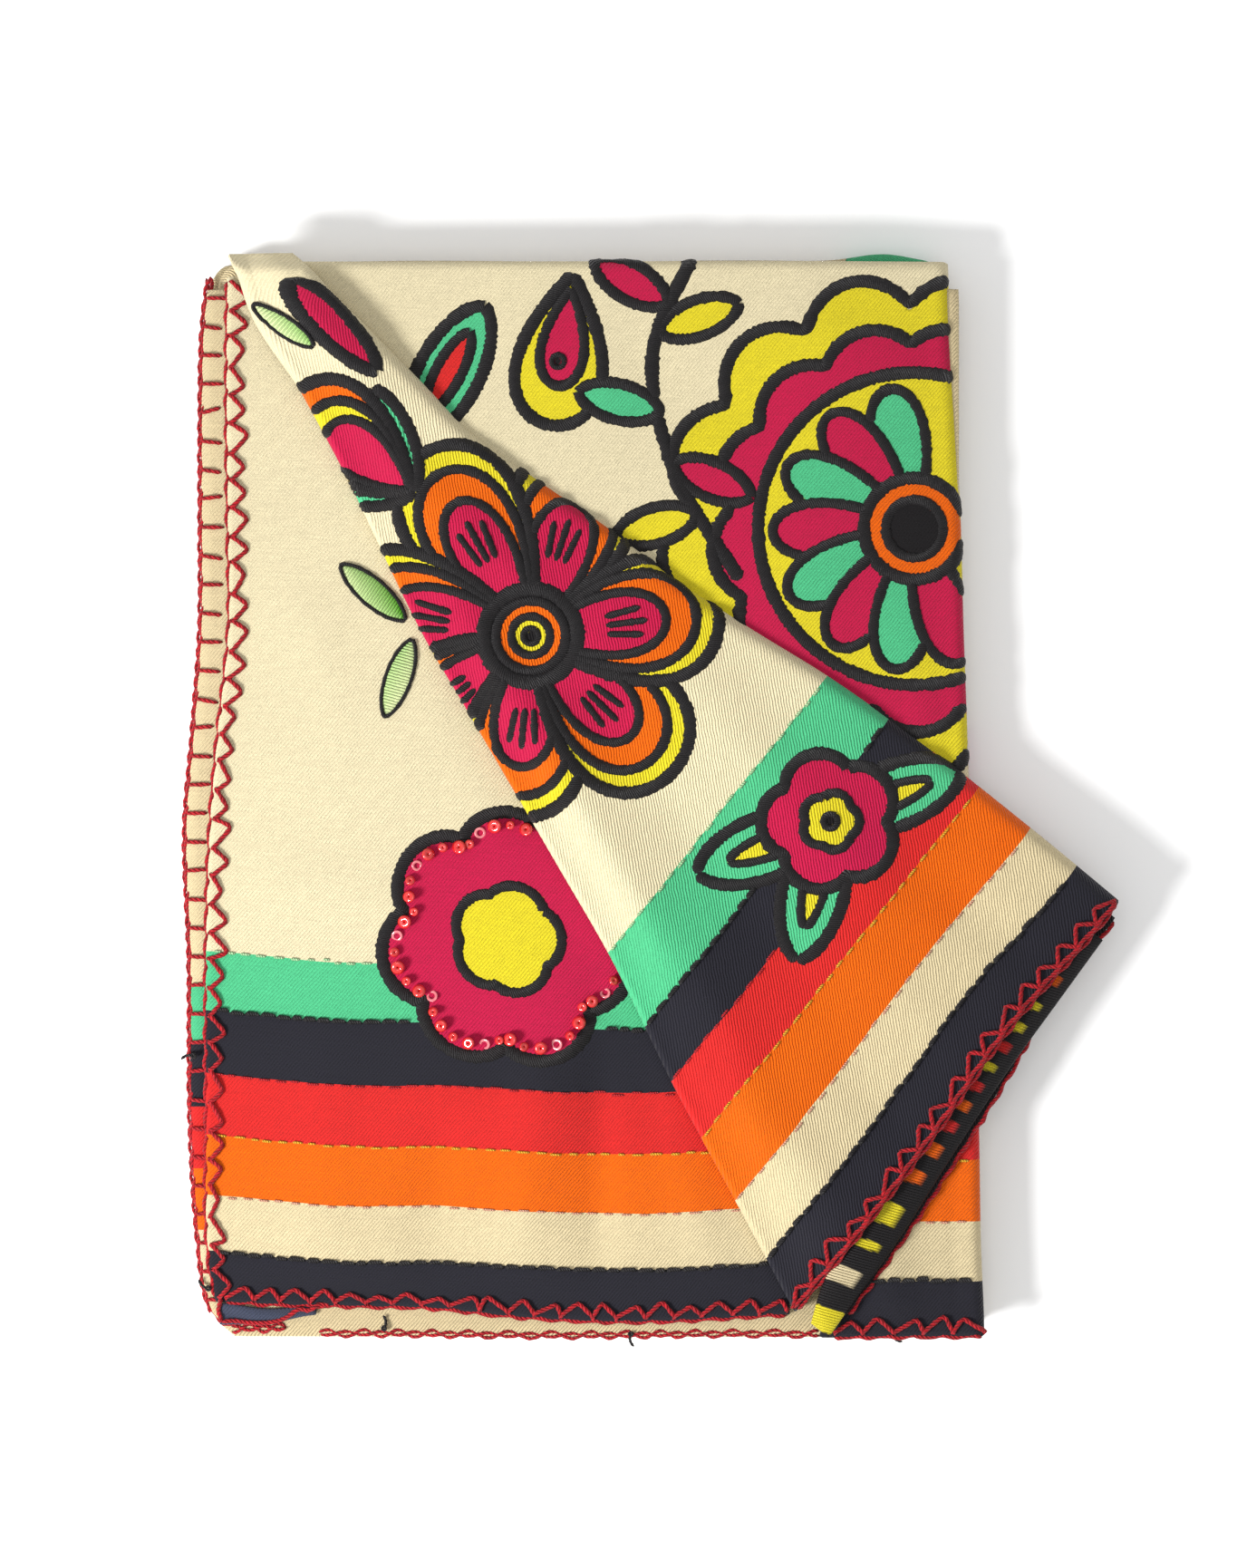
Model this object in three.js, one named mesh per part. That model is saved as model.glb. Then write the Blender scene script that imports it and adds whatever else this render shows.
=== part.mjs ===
// A printed and embroidered wool scarf, folded flat into a pack with one corner turned over.
//
// The scarf is one rectangle of cloth, 700 mm wide. It is folded once along its length, then
// across and across again into a pack of about thirteen layers. The end of the upper half is
// pleated at an angle: its left stretch lies straight, the middle stretch (the flap) comes out of
// a hidden wedge pleat turned by 52 degrees, and its right stretch goes straight on again.
// Units are millimetres, +Z is up, and the pack lies on z = 0 with the hem of the upper end
// towards -Y. The origin is under the middle of the outline.

import * as THREE from 'three';

// Cloth and the room it takes up in the pack
const CLOTH = 1.2;                       // wool twill with its stitched outlines
const GAP = 0.3;                         // air between two layers
const LAYER = CLOTH + GAP;               // rise of one layer
const ROLL = 0.85;                       // radius of a pressed fold, to the middle of the cloth
const BEHIND_ROLL = 3.8;                 // a layer starts this far behind the fold that it comes from
const PACK_HEIGHT = 11.8;                // hidden layers, at the middle of the pack
const PACK_SLOPE = 0.011;                // the folded right side is thicker than the open left side
const HIDDEN_FOLD_X = 38;                // the pleat under the flap turns back here
const RIGHT_SETTLE = 50;                 // the right panel comes down from the pleat over this width

// The pack in plan
const BACK_Y = 147;                      // fold at the back
const FRONT_Y = -148.4;                  // fold at the front
const HEM_OVERHANG = 0.6;                // the hem of the back half hangs over the front fold,
const RIGHT_HEM_OVERHANG = 0.4;          // and the right panel's a little less
const BACK_HALF_BACK_Y = 140;
const LEFT_PANEL_BACK_Y = 142.6;
const LEFT_PANEL_HIDDEN_Y = 119;         // under the flap its back edge stands in to here,
const LEFT_PANEL_STEP = 7;               // reached over this width
const PLEAT_BACK_Y = 119;
const PLEAT_FRONT_Y = -116;              // the pleat ends in a point near the hem
const RIGHT_PANEL_COVER = 19;            // the right panel goes this far under the flap from its fold
const CORNER = 0.045;                    // corner radius, as a share of half the pack
const BACK_ROLL = 1.7;                   // the fold over the back edge is rounder than a pressed one

// The flap is measured along its hem (u) and square to its hem (v), from the foot of its fold
const FLAP_FOOT = new THREE.Vector2(38.75, -142.25);
const FLAP_TURN = THREE.MathUtils.degToRad(51.64);
const PLEAT_RISE = 18;                   // the flap climbs onto the layers below it over this width,
const PLEAT_RISE_SHARE = 0.7;            // or over this share of its own width where it is narrow
const HEM_LIFT = 2.7;                    // it also rises over the rolled stretch under its hem
const HEM_LIFT_REACH = 48;
const HEM_LIFT_FROM_FOLD = { start: 4, full: 26 };
const HEM_BOW = { at: 97, width: 28, depth: 2.5, reach: 60 };  // here the flap's hem bends inwards
const PACK_RIGHT_X = 88;                 // past this the tip of the flap hangs free
const TIP_DROOP = 0.0018;                // fall of the tip, per square millimetre of overhang
const BACK_DROP = { depth: 4, from: 146.5, to: 151 };  // the flap goes down over the back fold
const SETTLING = 0.3;                    // the layers under the flap don't press flat on each other

// Sections of the flap: where its fold and its ridge lie at each distance v from the hem
const FLAP_SECTIONS = [
  { v: 0, fold: 0, ridge: 144.4 },
  { v: 30, fold: 13.2, ridge: 145 },
  { v: 64, fold: 28, ridge: 145 },
  { v: 99, fold: 44.8, ridge: 143.4 },
  { v: 127, fold: 56, ridge: 140.2 },
  { v: 151, fold: 65.4, ridge: 138 },
  { v: 174, fold: 74.4, ridge: 137.6 },
  { v: 196, fold: 83, ridge: 136 },
  { v: 222, fold: 95.5, ridge: 135 },
  { v: 238, fold: 103.4, ridge: 137 },
  { v: 261, fold: 113.4, ridge: 139.8 },
  { v: 277, fold: 120, ridge: 141.2 },
  { v: 291, fold: 127.5, ridge: 142.4 },
  { v: 302, fold: 131.1, ridge: 143 },
];
const BACK_SLANT = { middle: 132, from: 262, slope: 1.263 };  // the last sections turn along the back edge

// The left hem, which sags towards the flap's foot
const LEFT_HEM = [
  { x: -124, y: -139.2 },
  { x: -100, y: -140.3 },
  { x: -78, y: -140.7 },
  { x: -60, y: -141.2 },
  { x: -40, y: -143.3 },
  { x: -20, y: -144.6 },
  { x: 0, y: -144.8 },
  { x: 20, y: -143.8 },
  { x: 39, y: -142.6 },
];

// Hem of the layer that comes back under the flap, and the rolled stretch that lies on it
const RETURN_HEM = [
  { u: 8, hem: -12 },
  { u: 24, hem: -11.6 },
  { u: 40, hem: -10.7 },
  { u: 65, hem: -8.5 },
  { u: 88, hem: -6 },
  { u: 104, hem: -3.4 },
  { u: 120, hem: -2.2 },
  { u: 140, hem: -2.6 },
];
const ROLLED_STRETCH = [
  { u: 4, outer: -10.2, inner: -5.6 },
  { u: 11, outer: -10.4, inner: -5 },
  { u: 25, outer: -10, inner: -2.2 },
  { u: 40, outer: -9, inner: 3 },
  { u: 65, outer: -6.6, inner: 5 },
  { u: 88, outer: -3.4, inner: 8 },
  { u: 112, outer: -1.4, inner: 8 },
  { u: 134, outer: -1, inner: 6 },
];
const ROLLED_THICKNESS = 2.2;

// Hidden edge of the layer that comes back, under the flap
const RETURN_HIDDEN_SHARE = 0.72;        // of the flap's width, where that is narrow
const RETURN_HIDDEN_PAST = 2;            // past the width over which the flap climbs
const RETURN_NARROWS = { from: -10, to: -0.5 };

// Side edges of the layers that show, from the back to the front
const SIDE_EDGES = [
  { y: 150, backHalf: -121.6, leftPanel: -117.4, rightPanel: 81.4 },
  { y: 128, backHalf: -124.2, leftPanel: -117.8, rightPanel: 82 },
  { y: 102, backHalf: -124.7, leftPanel: -117.8, rightPanel: 83.6 },
  { y: 75, backHalf: -124.7, leftPanel: -117.5, rightPanel: 85 },
  { y: 46, backHalf: -124.8, leftPanel: -117.3, rightPanel: 85.8 },
  { y: 18, backHalf: -126.8, leftPanel: -120.2, rightPanel: 86.8 },
  { y: -10, backHalf: -129, leftPanel: -122.5, rightPanel: 87.6 },
  { y: -45, backHalf: -127.8, leftPanel: -123.5, rightPanel: 88.6 },
  { y: -90, backHalf: -127.5, leftPanel: -123.4, rightPanel: 90 },
  { y: -124, backHalf: -125.3, leftPanel: -123.1, rightPanel: 90.6 },
  { y: -143, backHalf: -121.6, leftPanel: -119.5, rightPanel: 91.4 },
  { y: -152, backHalf: -112, leftPanel: -113, rightPanel: 91.6 },
];

// Hidden layers of the pack, two by two: how far each pair stands in from the outline
const HIDDEN_PAIRS = [
  { top: 2.4, left: 1.2, right: 1, front: 1.4, back: 0.6 },
  { top: 4.8, left: 2.6, right: 0.8, front: 0.5, back: 0.2 },
  { top: 7.2, left: 0.8, right: 1.6, front: 1.8, back: 0.8 },
  { top: 9.5, left: 2.2, right: 1.2, front: 0.4, back: -0.3 },
  { top: null, left: 1.4, right: 3.4, front: 1.6, back: 6.4 },
];
const PAIR_ROUNDING = 0.9;               // how far the groove between two pairs goes in
const GROOVE = 0.12;                     // half the height of that groove
const PAIR_RINGS = [
  { share: 0, inset: PAIR_ROUNDING },
  { share: 0.4, inset: 0 },
  { share: 0.7, inset: 0.1 },
  { share: 1, inset: PAIR_ROUNDING },
];

// The corner of the next layer turned up under the left hem
const TURNED_CORNER = { left: -119, right: -93, depth: 3.4, thickness: 1, behindHem: 1.6, taper: 0.75 };

// Turns of a rolled edge at which it has points, in degrees
const FOLD_TURNS = [-80, -40, 0, 45];
const BACK_TURNS = [-70, -35, 0, 30, 60];

// Numbers of steps in the meshes
const STEPS = {
  flap: { rows: 30, across: 15 },
  panel: { rows: 16, across: 13 },
  hidden: { side: 12, corner: 4 },
  strip: { rows: 18, across: 5 },
};

const COLOURS = {
  cream: 0xf0e2b6,
  creamReverse: 0xe6d3a0,
  orange: 0xf8730e,
  navy: 0x2e2d35,
  green: 0x50cd87,
};

const lerp = THREE.MathUtils.lerp;
const rise = (value, from, to) => THREE.MathUtils.smoothstep(value, from, to);

// Reads a column of a table at any station between its rows, on a smooth curve through them
function along(table, stationName, station, column) {
  const forward = table[table.length - 1][stationName] > table[0][stationName];
  const rows = forward ? table : [...table].reverse();
  const last = rows.length - 1;
  let i = 0;
  while (i < last - 1 && rows[i + 1][stationName] < station) i += 1;
  const [before, from, to, after] = [rows[Math.max(i - 1, 0)], rows[i], rows[i + 1], rows[Math.min(i + 2, last)]];
  const span = to[stationName] - from[stationName];
  const share = THREE.MathUtils.clamp((station - from[stationName]) / span, 0, 1);
  const slope = (a, b) => span * (b[column] - a[column]) / Math.max(b[stationName] - a[stationName], span);
  const start = slope(before, to);
  const end = slope(from, after);
  const s2 = share * share;
  const s3 = s2 * share;
  return (2 * s3 - 3 * s2 + 1) * from[column] + (s3 - 2 * s2 + share) * start
    + (3 * s2 - 2 * s3) * to[column] + (s3 - s2) * end;
}

const packTop = (x) => PACK_HEIGHT + PACK_SLOPE * x;
const leftHemY = (x) => along(LEFT_HEM, 'x', x, 'y');

// Place of a point of the flap in the pack
function flapToPack(u, v) {
  const along = new THREE.Vector2(Math.cos(FLAP_TURN), Math.sin(FLAP_TURN));
  const inwards = new THREE.Vector2(-along.y, along.x);
  return FLAP_FOOT.clone().addScaledVector(along, u).addScaledVector(inwards, v);
}

// The fold of the flap in the pack's own axes, for the layers that lie under it
const FOLD_LINE = FLAP_SECTIONS.map(({ v, fold }) => {
  const place = flapToPack(fold, v);
  return { x: place.x, y: place.y };
});
const foldX = (y) => along(FOLD_LINE, 'y', y, 'x');

// The right panel's hidden edge: close under the ridge at the back, then beside the flap's fold.
// In front of the flap's foot it reaches further left, up to the end of the rolled stretch
const RIGHT_PANEL_HIDDEN_EDGE = [
  { y: 148, x: -103 },
  { y: 138, x: -97 },
  { y: 122, x: -87 },
  ...FOLD_LINE.slice(1).filter(({ y }) => y < 115).map(({ x, y }) => ({ y, x: x + RIGHT_PANEL_COVER })).reverse(),
  { y: -132, x: 51 },
  { y: -142, x: 48 },
  { y: -150, x: 46 },
];

// Heights of the middle of each layer
const underTip = (x) => TIP_DROOP * Math.max(0, x - PACK_RIGHT_X) ** 2;
const backHalfHeight = (x) => packTop(x) + GAP + CLOTH / 2;
const leftPanelHeight = (x) => backHalfHeight(x) + LAYER;
const pleatHeight = (x) => leftPanelHeight(x) + LAYER;
const rightPanelHeight = (x) => backHalfHeight(x)
  + lerp(3 * LAYER, LAYER, rise(x, HIDDEN_FOLD_X, HIDDEN_FOLD_X + RIGHT_SETTLE));
const returnHeight = (x) => rightPanelHeight(x) + LAYER + SETTLING - underTip(x);

function flapHeight(u, v) {
  const x = flapToPack(u, v).x;
  const fold = along(FLAP_SECTIONS, 'v', v, 'fold');
  const ridge = along(FLAP_SECTIONS, 'v', v, 'ridge');
  const climbWidth = Math.min(PLEAT_RISE, PLEAT_RISE_SHARE * (ridge - fold));
  const atFold = pleatHeight(x) + 2 * ROLL;
  const overReturn = returnHeight(x) + 2 * ROLL + SETTLING / 2;
  const climb = rise(u, fold, fold + climbWidth);
  const { start, full } = HEM_LIFT_FROM_FOLD;
  const lift = HEM_LIFT * rise(HEM_LIFT_REACH - v, 0, HEM_LIFT_REACH) * rise(u, fold + start, fold + full);
  return lerp(atFold, overReturn, climb) + lift;
}

// A wall of cloth round a grid of points on its middle. The rim is a point further out all round
function clothWall(grid, thickness = CLOTH) {
  const rows = grid.length;
  const columns = grid[0].length;
  const at = (i, j) => grid[THREE.MathUtils.clamp(i, 0, rows - 1)][THREE.MathUtils.clamp(j, 0, columns - 1)];
  const vertices = [];
  for (const side of [1, -1]) {
    for (let i = 0; i < rows; i += 1) {
      for (let j = 0; j < columns; j += 1) {
        const normal = at(i + 1, j).clone().sub(at(i - 1, j)).cross(at(i, j + 1).clone().sub(at(i, j - 1)));
        vertices.push(at(i, j).clone().addScaledVector(normal.normalize(), side * thickness / 2));
      }
    }
  }
  const upper = (i, j) => i * columns + j;
  const lower = (i, j) => rows * columns + upper(i, j);
  const rim = [];
  for (let j = 0; j < columns - 1; j += 1) rim.push([0, j]);
  for (let i = 0; i < rows - 1; i += 1) rim.push([i, columns - 1]);
  for (let j = columns - 1; j > 0; j -= 1) rim.push([rows - 1, j]);
  for (let i = rows - 1; i > 0; i -= 1) rim.push([i, 0]);
  const firstOfRim = vertices.length;
  for (const [i, j] of rim) {
    const outwards = new THREE.Vector3();
    if (i === 0) outwards.add(at(0, j).clone().sub(at(1, j)).normalize());
    if (i === rows - 1) outwards.add(at(i, j).clone().sub(at(i - 1, j)).normalize());
    if (j === 0) outwards.add(at(i, 0).clone().sub(at(i, 1)).normalize());
    if (j === columns - 1) outwards.add(at(i, j).clone().sub(at(i, j - 1)).normalize());
    vertices.push(at(i, j).clone().addScaledVector(outwards.normalize(), thickness / 2));
  }
  const faces = [];
  const quad = (a, b, c, d) => faces.push(a, b, c, a, c, d);
  for (let i = 0; i < rows - 1; i += 1) {
    for (let j = 0; j < columns - 1; j += 1) {
      quad(upper(i, j), upper(i + 1, j), upper(i + 1, j + 1), upper(i, j + 1));
      quad(lower(i, j), lower(i, j + 1), lower(i + 1, j + 1), lower(i + 1, j));
    }
  }
  rim.forEach(([i, j], k) => {
    const next = (k + 1) % rim.length;
    const [nextI, nextJ] = rim[next];
    quad(upper(i, j), upper(nextI, nextJ), firstOfRim + next, firstOfRim + k);
    quad(firstOfRim + k, firstOfRim + next, lower(nextI, nextJ), lower(i, j));
  });
  return closedGeometry(vertices, faces);
}

function closedGeometry(vertices, faces) {
  const geometry = new THREE.BufferGeometry().setFromPoints(vertices);
  geometry.setIndex(faces);
  geometry.computeVertexNormals();
  return geometry;
}

// One section across a sheet, rolled down at the ends that are folds. It gives stations and heights
function section(start, end, height, { steps, rollStart = 0, rollEnd = 0 }) {
  const inset = CLOTH / 2;
  const first = start + inset + rollStart;
  const last = end - inset - rollEnd;
  const turns = FOLD_TURNS.map(THREE.MathUtils.degToRad);
  const points = [];
  if (rollStart > 0) {
    for (const turn of turns) {
      points.push({ at: first - rollStart * Math.cos(turn), z: height(first) - rollStart * (1 - Math.sin(turn)) });
    }
  }
  for (let i = 0; i <= steps; i += 1) {
    const station = lerp(first, last, i / steps);
    points.push({ at: station, z: height(station) });
  }
  if (rollEnd > 0) {
    for (const turn of turns.reverse()) {
      points.push({ at: last + rollEnd * Math.cos(turn), z: height(last) - rollEnd * (1 - Math.sin(turn)) });
    }
  }
  return points;
}

// A sheet between two side edges, in the pack's own axes, with rows from the back to the front
function sheetInPack({ back, front, left, right, height, rows, across }) {
  const grid = [];
  for (let i = 0; i <= rows; i += 1) {
    const y = lerp(back, front, i / rows);
    const columns = section(left(y), right(y), height, { steps: across });
    grid.push(columns.map(({ at, z }) => new THREE.Vector3(at, y, z)));
  }
  return grid;
}

// Closes a stack of rings of equal length, from the bottom one to the top one
function ringStack(rings) {
  const count = rings[0].length;
  const vertices = rings.flat();
  const faces = [];
  for (let r = 0; r < rings.length - 1; r += 1) {
    for (let k = 0; k < count; k += 1) {
      const next = (k + 1) % count;
      const [a, b] = [r * count + k, r * count + next];
      faces.push(a, b, b + count, a, b + count, a + count);
    }
  }
  for (const [ring, facingUp] of [[0, false], [rings.length - 1, true]]) {
    const outline = rings[ring].map(({ x, y }) => new THREE.Vector2(x, y));
    for (const [a, b, c] of THREE.ShapeUtils.triangulateShape(outline, [])) {
      const triangle = facingUp ? [a, b, c] : [a, c, b];
      faces.push(...triangle.map((index) => ring * count + index));
    }
  }
  return closedGeometry(vertices, faces);
}

// Outline of the pack with round corners, each side moved in by its own distance
function packOutline({ left, right, front, back }) {
  const { side, corner } = STEPS.hidden;
  const outline = [];
  for (let quarter = 0; quarter < 4; quarter += 1) {
    const turn = quarter * Math.PI / 2;
    const place = (x, y) => {
      const across = x * Math.cos(turn) - y * Math.sin(turn);
      const up = x * Math.sin(turn) + y * Math.cos(turn);
      const packY = lerp(FRONT_Y + front, BACK_Y - back, (up + 1) / 2);
      const from = along(SIDE_EDGES, 'y', packY, 'backHalf') + left;
      const to = along(SIDE_EDGES, 'y', packY, 'rightPanel') - right;
      outline.push(new THREE.Vector2(lerp(from, to, (across + 1) / 2), packY));
    };
    for (let k = 0; k < side; k += 1) place(1, lerp(-1 + CORNER, 1 - CORNER, k / side));
    for (let k = 0; k < corner; k += 1) {
      const angle = (k / corner) * Math.PI / 2;
      place(1 - CORNER + CORNER * Math.cos(angle), 1 - CORNER + CORNER * Math.sin(angle));
    }
  }
  return outline;
}

function hiddenLayers() {
  const rings = [];
  const addRing = (reach, inset, height) => {
    const moved = Object.fromEntries(['left', 'right', 'front', 'back'].map((name) => [name, reach[name] + inset]));
    rings.push(packOutline(moved).map(({ x, y }) => new THREE.Vector3(x, y, height(x))));
  };
  let below = 0;
  HIDDEN_PAIRS.forEach((pair, index) => {
    const bottom = below + (index === 0 ? 0 : GROOVE);
    const top = (x) => (pair.top === null ? packTop(x) : pair.top - GROOVE);
    for (const { share, inset } of PAIR_RINGS) addRing(pair, inset, (x) => lerp(bottom, top(x), share));
    below = pair.top;
  });
  return ringStack(rings);
}

function backHalf() {
  return clothWall(sheetInPack({
    back: BACK_HALF_BACK_Y,
    front: FRONT_Y - HEM_OVERHANG,
    left: (y) => along(SIDE_EDGES, 'y', y, 'backHalf'),
    right: (y) => along(SIDE_EDGES, 'y', y, 'rightPanel') - BEHIND_ROLL,
    height: backHalfHeight,
    rows: STEPS.panel.rows - 4,
    across: STEPS.panel.across - 3,
  }));
}

function leftPanel() {
  const sideX = SIDE_EDGES[0].leftPanel;
  const back = (x) => lerp(LEFT_PANEL_BACK_Y, LEFT_PANEL_HIDDEN_Y, rise(x, sideX, sideX + LEFT_PANEL_STEP));
  const left = (y) => along(SIDE_EDGES, 'y', y, 'leftPanel');
  const grid = [];
  for (let i = 0; i <= STEPS.panel.rows; i += 1) {
    const share = i / STEPS.panel.rows;
    const edgeY = lerp(LEFT_PANEL_BACK_Y, leftHemY(sideX), share);
    const columns = section(left(edgeY), HIDDEN_FOLD_X, leftPanelHeight, { steps: STEPS.panel.across });
    grid.push(columns.map(({ at, z }) => new THREE.Vector3(at, lerp(back(at), leftHemY(at), share), z)));
  }
  return clothWall(grid);
}

// The layer between the left panel and the flap: it starts where the flap's fold has turned under
function hiddenPleat() {
  return clothWall(sheetInPack({
    back: PLEAT_BACK_Y,
    front: PLEAT_FRONT_Y,
    left: (y) => foldX(y) + BEHIND_ROLL,
    right: () => HIDDEN_FOLD_X,
    height: pleatHeight,
    rows: STEPS.panel.rows - 4,
    across: 5,
  }));
}

// The right panel: its right edge rolls down to the back half, and its back edge over the pack
function rightPanel() {
  const grid = [];
  const addRow = (y, drop) => {
    const hidden = along(RIGHT_PANEL_HIDDEN_EDGE, 'y', y, 'x');
    const right = along(SIDE_EDGES, 'y', y, 'rightPanel');
    const columns = section(hidden, right, rightPanelHeight, { steps: STEPS.panel.across, rollEnd: ROLL });
    grid.push(columns.map(({ at, z }) => new THREE.Vector3(at, y, z - drop)));
  };
  const rollStart = BACK_Y - CLOTH / 2 - BACK_ROLL;
  for (const degrees of BACK_TURNS) {
    const turn = THREE.MathUtils.degToRad(degrees);
    addRow(rollStart + BACK_ROLL * Math.cos(turn), BACK_ROLL * (1 - Math.sin(turn)));
  }
  const { rows } = STEPS.panel;
  for (let i = 0; i <= rows; i += 1) addRow(lerp(rollStart, FRONT_Y - RIGHT_HEM_OVERHANG, i / rows), 0);
  return clothWall(grid);
}

// The layer under the flap that comes back from the ridge. Its hem shows past the flap's
function flapReturn() {
  const grid = [];
  const stationsUnderFlap = [3, 12, 28, 50, 80, 115, 150, 190, 230, 258];
  const sharesToFlapHem = [0, 0.35, 0.7, 1];
  const firstU = RETURN_HEM[0].u + CLOTH / 2;
  const { across } = STEPS.panel;
  const edges = (v) => {
    const fold = along(FLAP_SECTIONS, 'v', Math.max(v, 0), 'fold');
    const ridge = along(FLAP_SECTIONS, 'v', Math.max(v, 0), 'ridge');
    const hidden = fold + Math.min(PLEAT_RISE + RETURN_HIDDEN_PAST, RETURN_HIDDEN_SHARE * (ridge - fold));
    const narrowed = rise(v, RETURN_NARROWS.from, RETURN_NARROWS.to);
    return { from: lerp(firstU, hidden, narrowed), to: ridge - BEHIND_ROLL };
  };
  const addRow = (rowV) => {
    const row = [];
    for (let j = 0; j <= across; j += 1) {
      const { from, to } = edges(rowV(firstU));
      const u = lerp(from, to, j / across);
      const v = rowV(u);
      const place = flapToPack(u, v);
      row.push(new THREE.Vector3(place.x, place.y, returnHeight(place.x)));
    }
    grid.push(row);
  };
  for (const share of sharesToFlapHem) {
    addRow((u) => lerp(along(RETURN_HEM, 'u', u, 'hem') + CLOTH / 2, 0, share));
  }
  for (const v of stationsUnderFlap) addRow(() => v);
  return clothWall(grid);
}

// The narrow rolled stretch that shows between the two hems
function rolledStretch() {
  const grid = [];
  const last = ROLLED_STRETCH[ROLLED_STRETCH.length - 1].u;
  for (let i = 0; i <= STEPS.strip.rows; i += 1) {
    const u = lerp(ROLLED_STRETCH[0].u, last, i / STEPS.strip.rows);
    const [outer, inner] = ['outer', 'inner'].map((name) => along(ROLLED_STRETCH, 'u', u, name));
    const row = [];
    for (let j = 0; j <= STEPS.strip.across; j += 1) {
      const place = flapToPack(u, lerp(inner, outer, j / STEPS.strip.across));
      const height = returnHeight(place.x) + CLOTH / 2 + GAP + ROLLED_THICKNESS / 2;
      row.push(new THREE.Vector3(place.x, place.y, height));
    }
    grid.push(row);
  }
  return clothWall(grid, ROLLED_THICKNESS);
}

// The flap: rolled down along its fold and its ridge, and rounded off at the back
function flap() {
  const grid = [];
  const lastV = FLAP_SECTIONS[FLAP_SECTIONS.length - 1].v;
  for (let i = 0; i <= STEPS.flap.rows; i += 1) {
    const v = lerp(CLOTH / 2, lastV, i / STEPS.flap.rows);
    const fold = along(FLAP_SECTIONS, 'v', v, 'fold');
    const ridge = along(FLAP_SECTIONS, 'v', v, 'ridge');
    const columns = section(fold, ridge, (u) => flapHeight(u, v), {
      steps: STEPS.flap.across,
      rollStart: ROLL,
      rollEnd: ROLL,
    });
    const bow = (u) => HEM_BOW.depth * Math.exp(-(((u - HEM_BOW.at) / HEM_BOW.width) ** 2))
      * rise(HEM_BOW.reach - v, 0, HEM_BOW.reach);
    const slant = BACK_SLANT.slope * rise(v, BACK_SLANT.from, lastV);
    grid.push(columns.map(({ at, z }) => {
      const { x, y } = flapToPack(at, v + bow(at) - slant * (at - BACK_SLANT.middle));
      return new THREE.Vector3(x, y, z - BACK_DROP.depth * rise(y, BACK_DROP.from, BACK_DROP.to));
    }));
  }
  return clothWall(grid);
}

// A corner of the next layer, turned up between the left hem and the front fold
function turnedCorner() {
  const { left, right, depth, thickness, behindHem, taper } = TURNED_CORNER;
  const grid = [];
  const steps = 6;
  for (let i = 0; i <= 3; i += 1) {
    const row = [];
    for (let j = 0; j <= steps; j += 1) {
      const x = lerp(left + thickness / 2, right, j / steps);
      const back = leftHemY(x) - behindHem;
      const reach = depth * (1 - taper * (j / steps));
      const height = packTop(x) + CLOTH + 2 * GAP + thickness / 2;
      row.push(new THREE.Vector3(x, back - reach * (i / 3), height));
    }
    grid.push(row);
  }
  return clothWall(grid, thickness);
}

const scarf = new THREE.Group();

function addStretch(name, geometry, colour, roughness = 0.9) {
  const material = new THREE.MeshStandardMaterial({ color: colour, roughness, metalness: 0 });
  const mesh = new THREE.Mesh(geometry, material);
  mesh.name = name;
  scarf.add(mesh);
}

addStretch('hidden_layers', hiddenLayers(), COLOURS.creamReverse);
addStretch('back_half', backHalf(), COLOURS.creamReverse);
addStretch('left_panel', leftPanel(), COLOURS.cream);
addStretch('hidden_pleat', hiddenPleat(), COLOURS.creamReverse);
addStretch('right_panel', rightPanel(), COLOURS.cream);
addStretch('flap_return', flapReturn(), COLOURS.navy);
addStretch('rolled_stretch', rolledStretch(), COLOURS.green);
addStretch('flap', flap(), COLOURS.orange);
addStretch('turned_corner', turnedCorner(), COLOURS.navy);

export default scarf;
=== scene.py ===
# %% [markdown]
# A printed wool scarf, folded flat into a pack. The end of its upper half is pleated, so that one
# stretch of the striped border turns over the pack as a flap. A scarf could be folded by a cloth
# simulation, but its folds would never fall just as they do in the photograph. So the solids of
# the pack come first, as a frame that nothing here moves. Each stretch of cloth is then laid over
# its solid as a fine shell, and the print, the stitching and the beads go on that shell.

# %% Load the frame
import math

import bpy
import numpy as np
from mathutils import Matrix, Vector


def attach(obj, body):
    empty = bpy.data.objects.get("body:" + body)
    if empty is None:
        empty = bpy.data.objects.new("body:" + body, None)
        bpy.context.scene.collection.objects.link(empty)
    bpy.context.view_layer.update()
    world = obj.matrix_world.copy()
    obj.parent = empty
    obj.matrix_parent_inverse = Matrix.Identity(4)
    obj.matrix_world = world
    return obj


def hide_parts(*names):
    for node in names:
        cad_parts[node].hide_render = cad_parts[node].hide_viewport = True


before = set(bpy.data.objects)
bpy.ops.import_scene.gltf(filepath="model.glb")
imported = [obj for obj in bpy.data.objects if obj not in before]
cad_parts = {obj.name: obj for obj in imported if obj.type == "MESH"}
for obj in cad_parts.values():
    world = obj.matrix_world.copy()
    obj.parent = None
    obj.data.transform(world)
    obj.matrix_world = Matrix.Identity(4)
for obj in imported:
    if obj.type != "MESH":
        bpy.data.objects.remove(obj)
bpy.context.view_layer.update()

MM = 0.001
rng = np.random.default_rng(7)

# %% [markdown]
# The sizes of the fold are those of the solids, in millimetres. A stretch of cloth is measured on
# the flat cloth: u runs along its hem and v runs in from the hem. Straight lines between a few
# points would leave corners in a fold. So the tables hold a row for each section, and a smooth
# curve through the rows gives everything in between.

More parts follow.
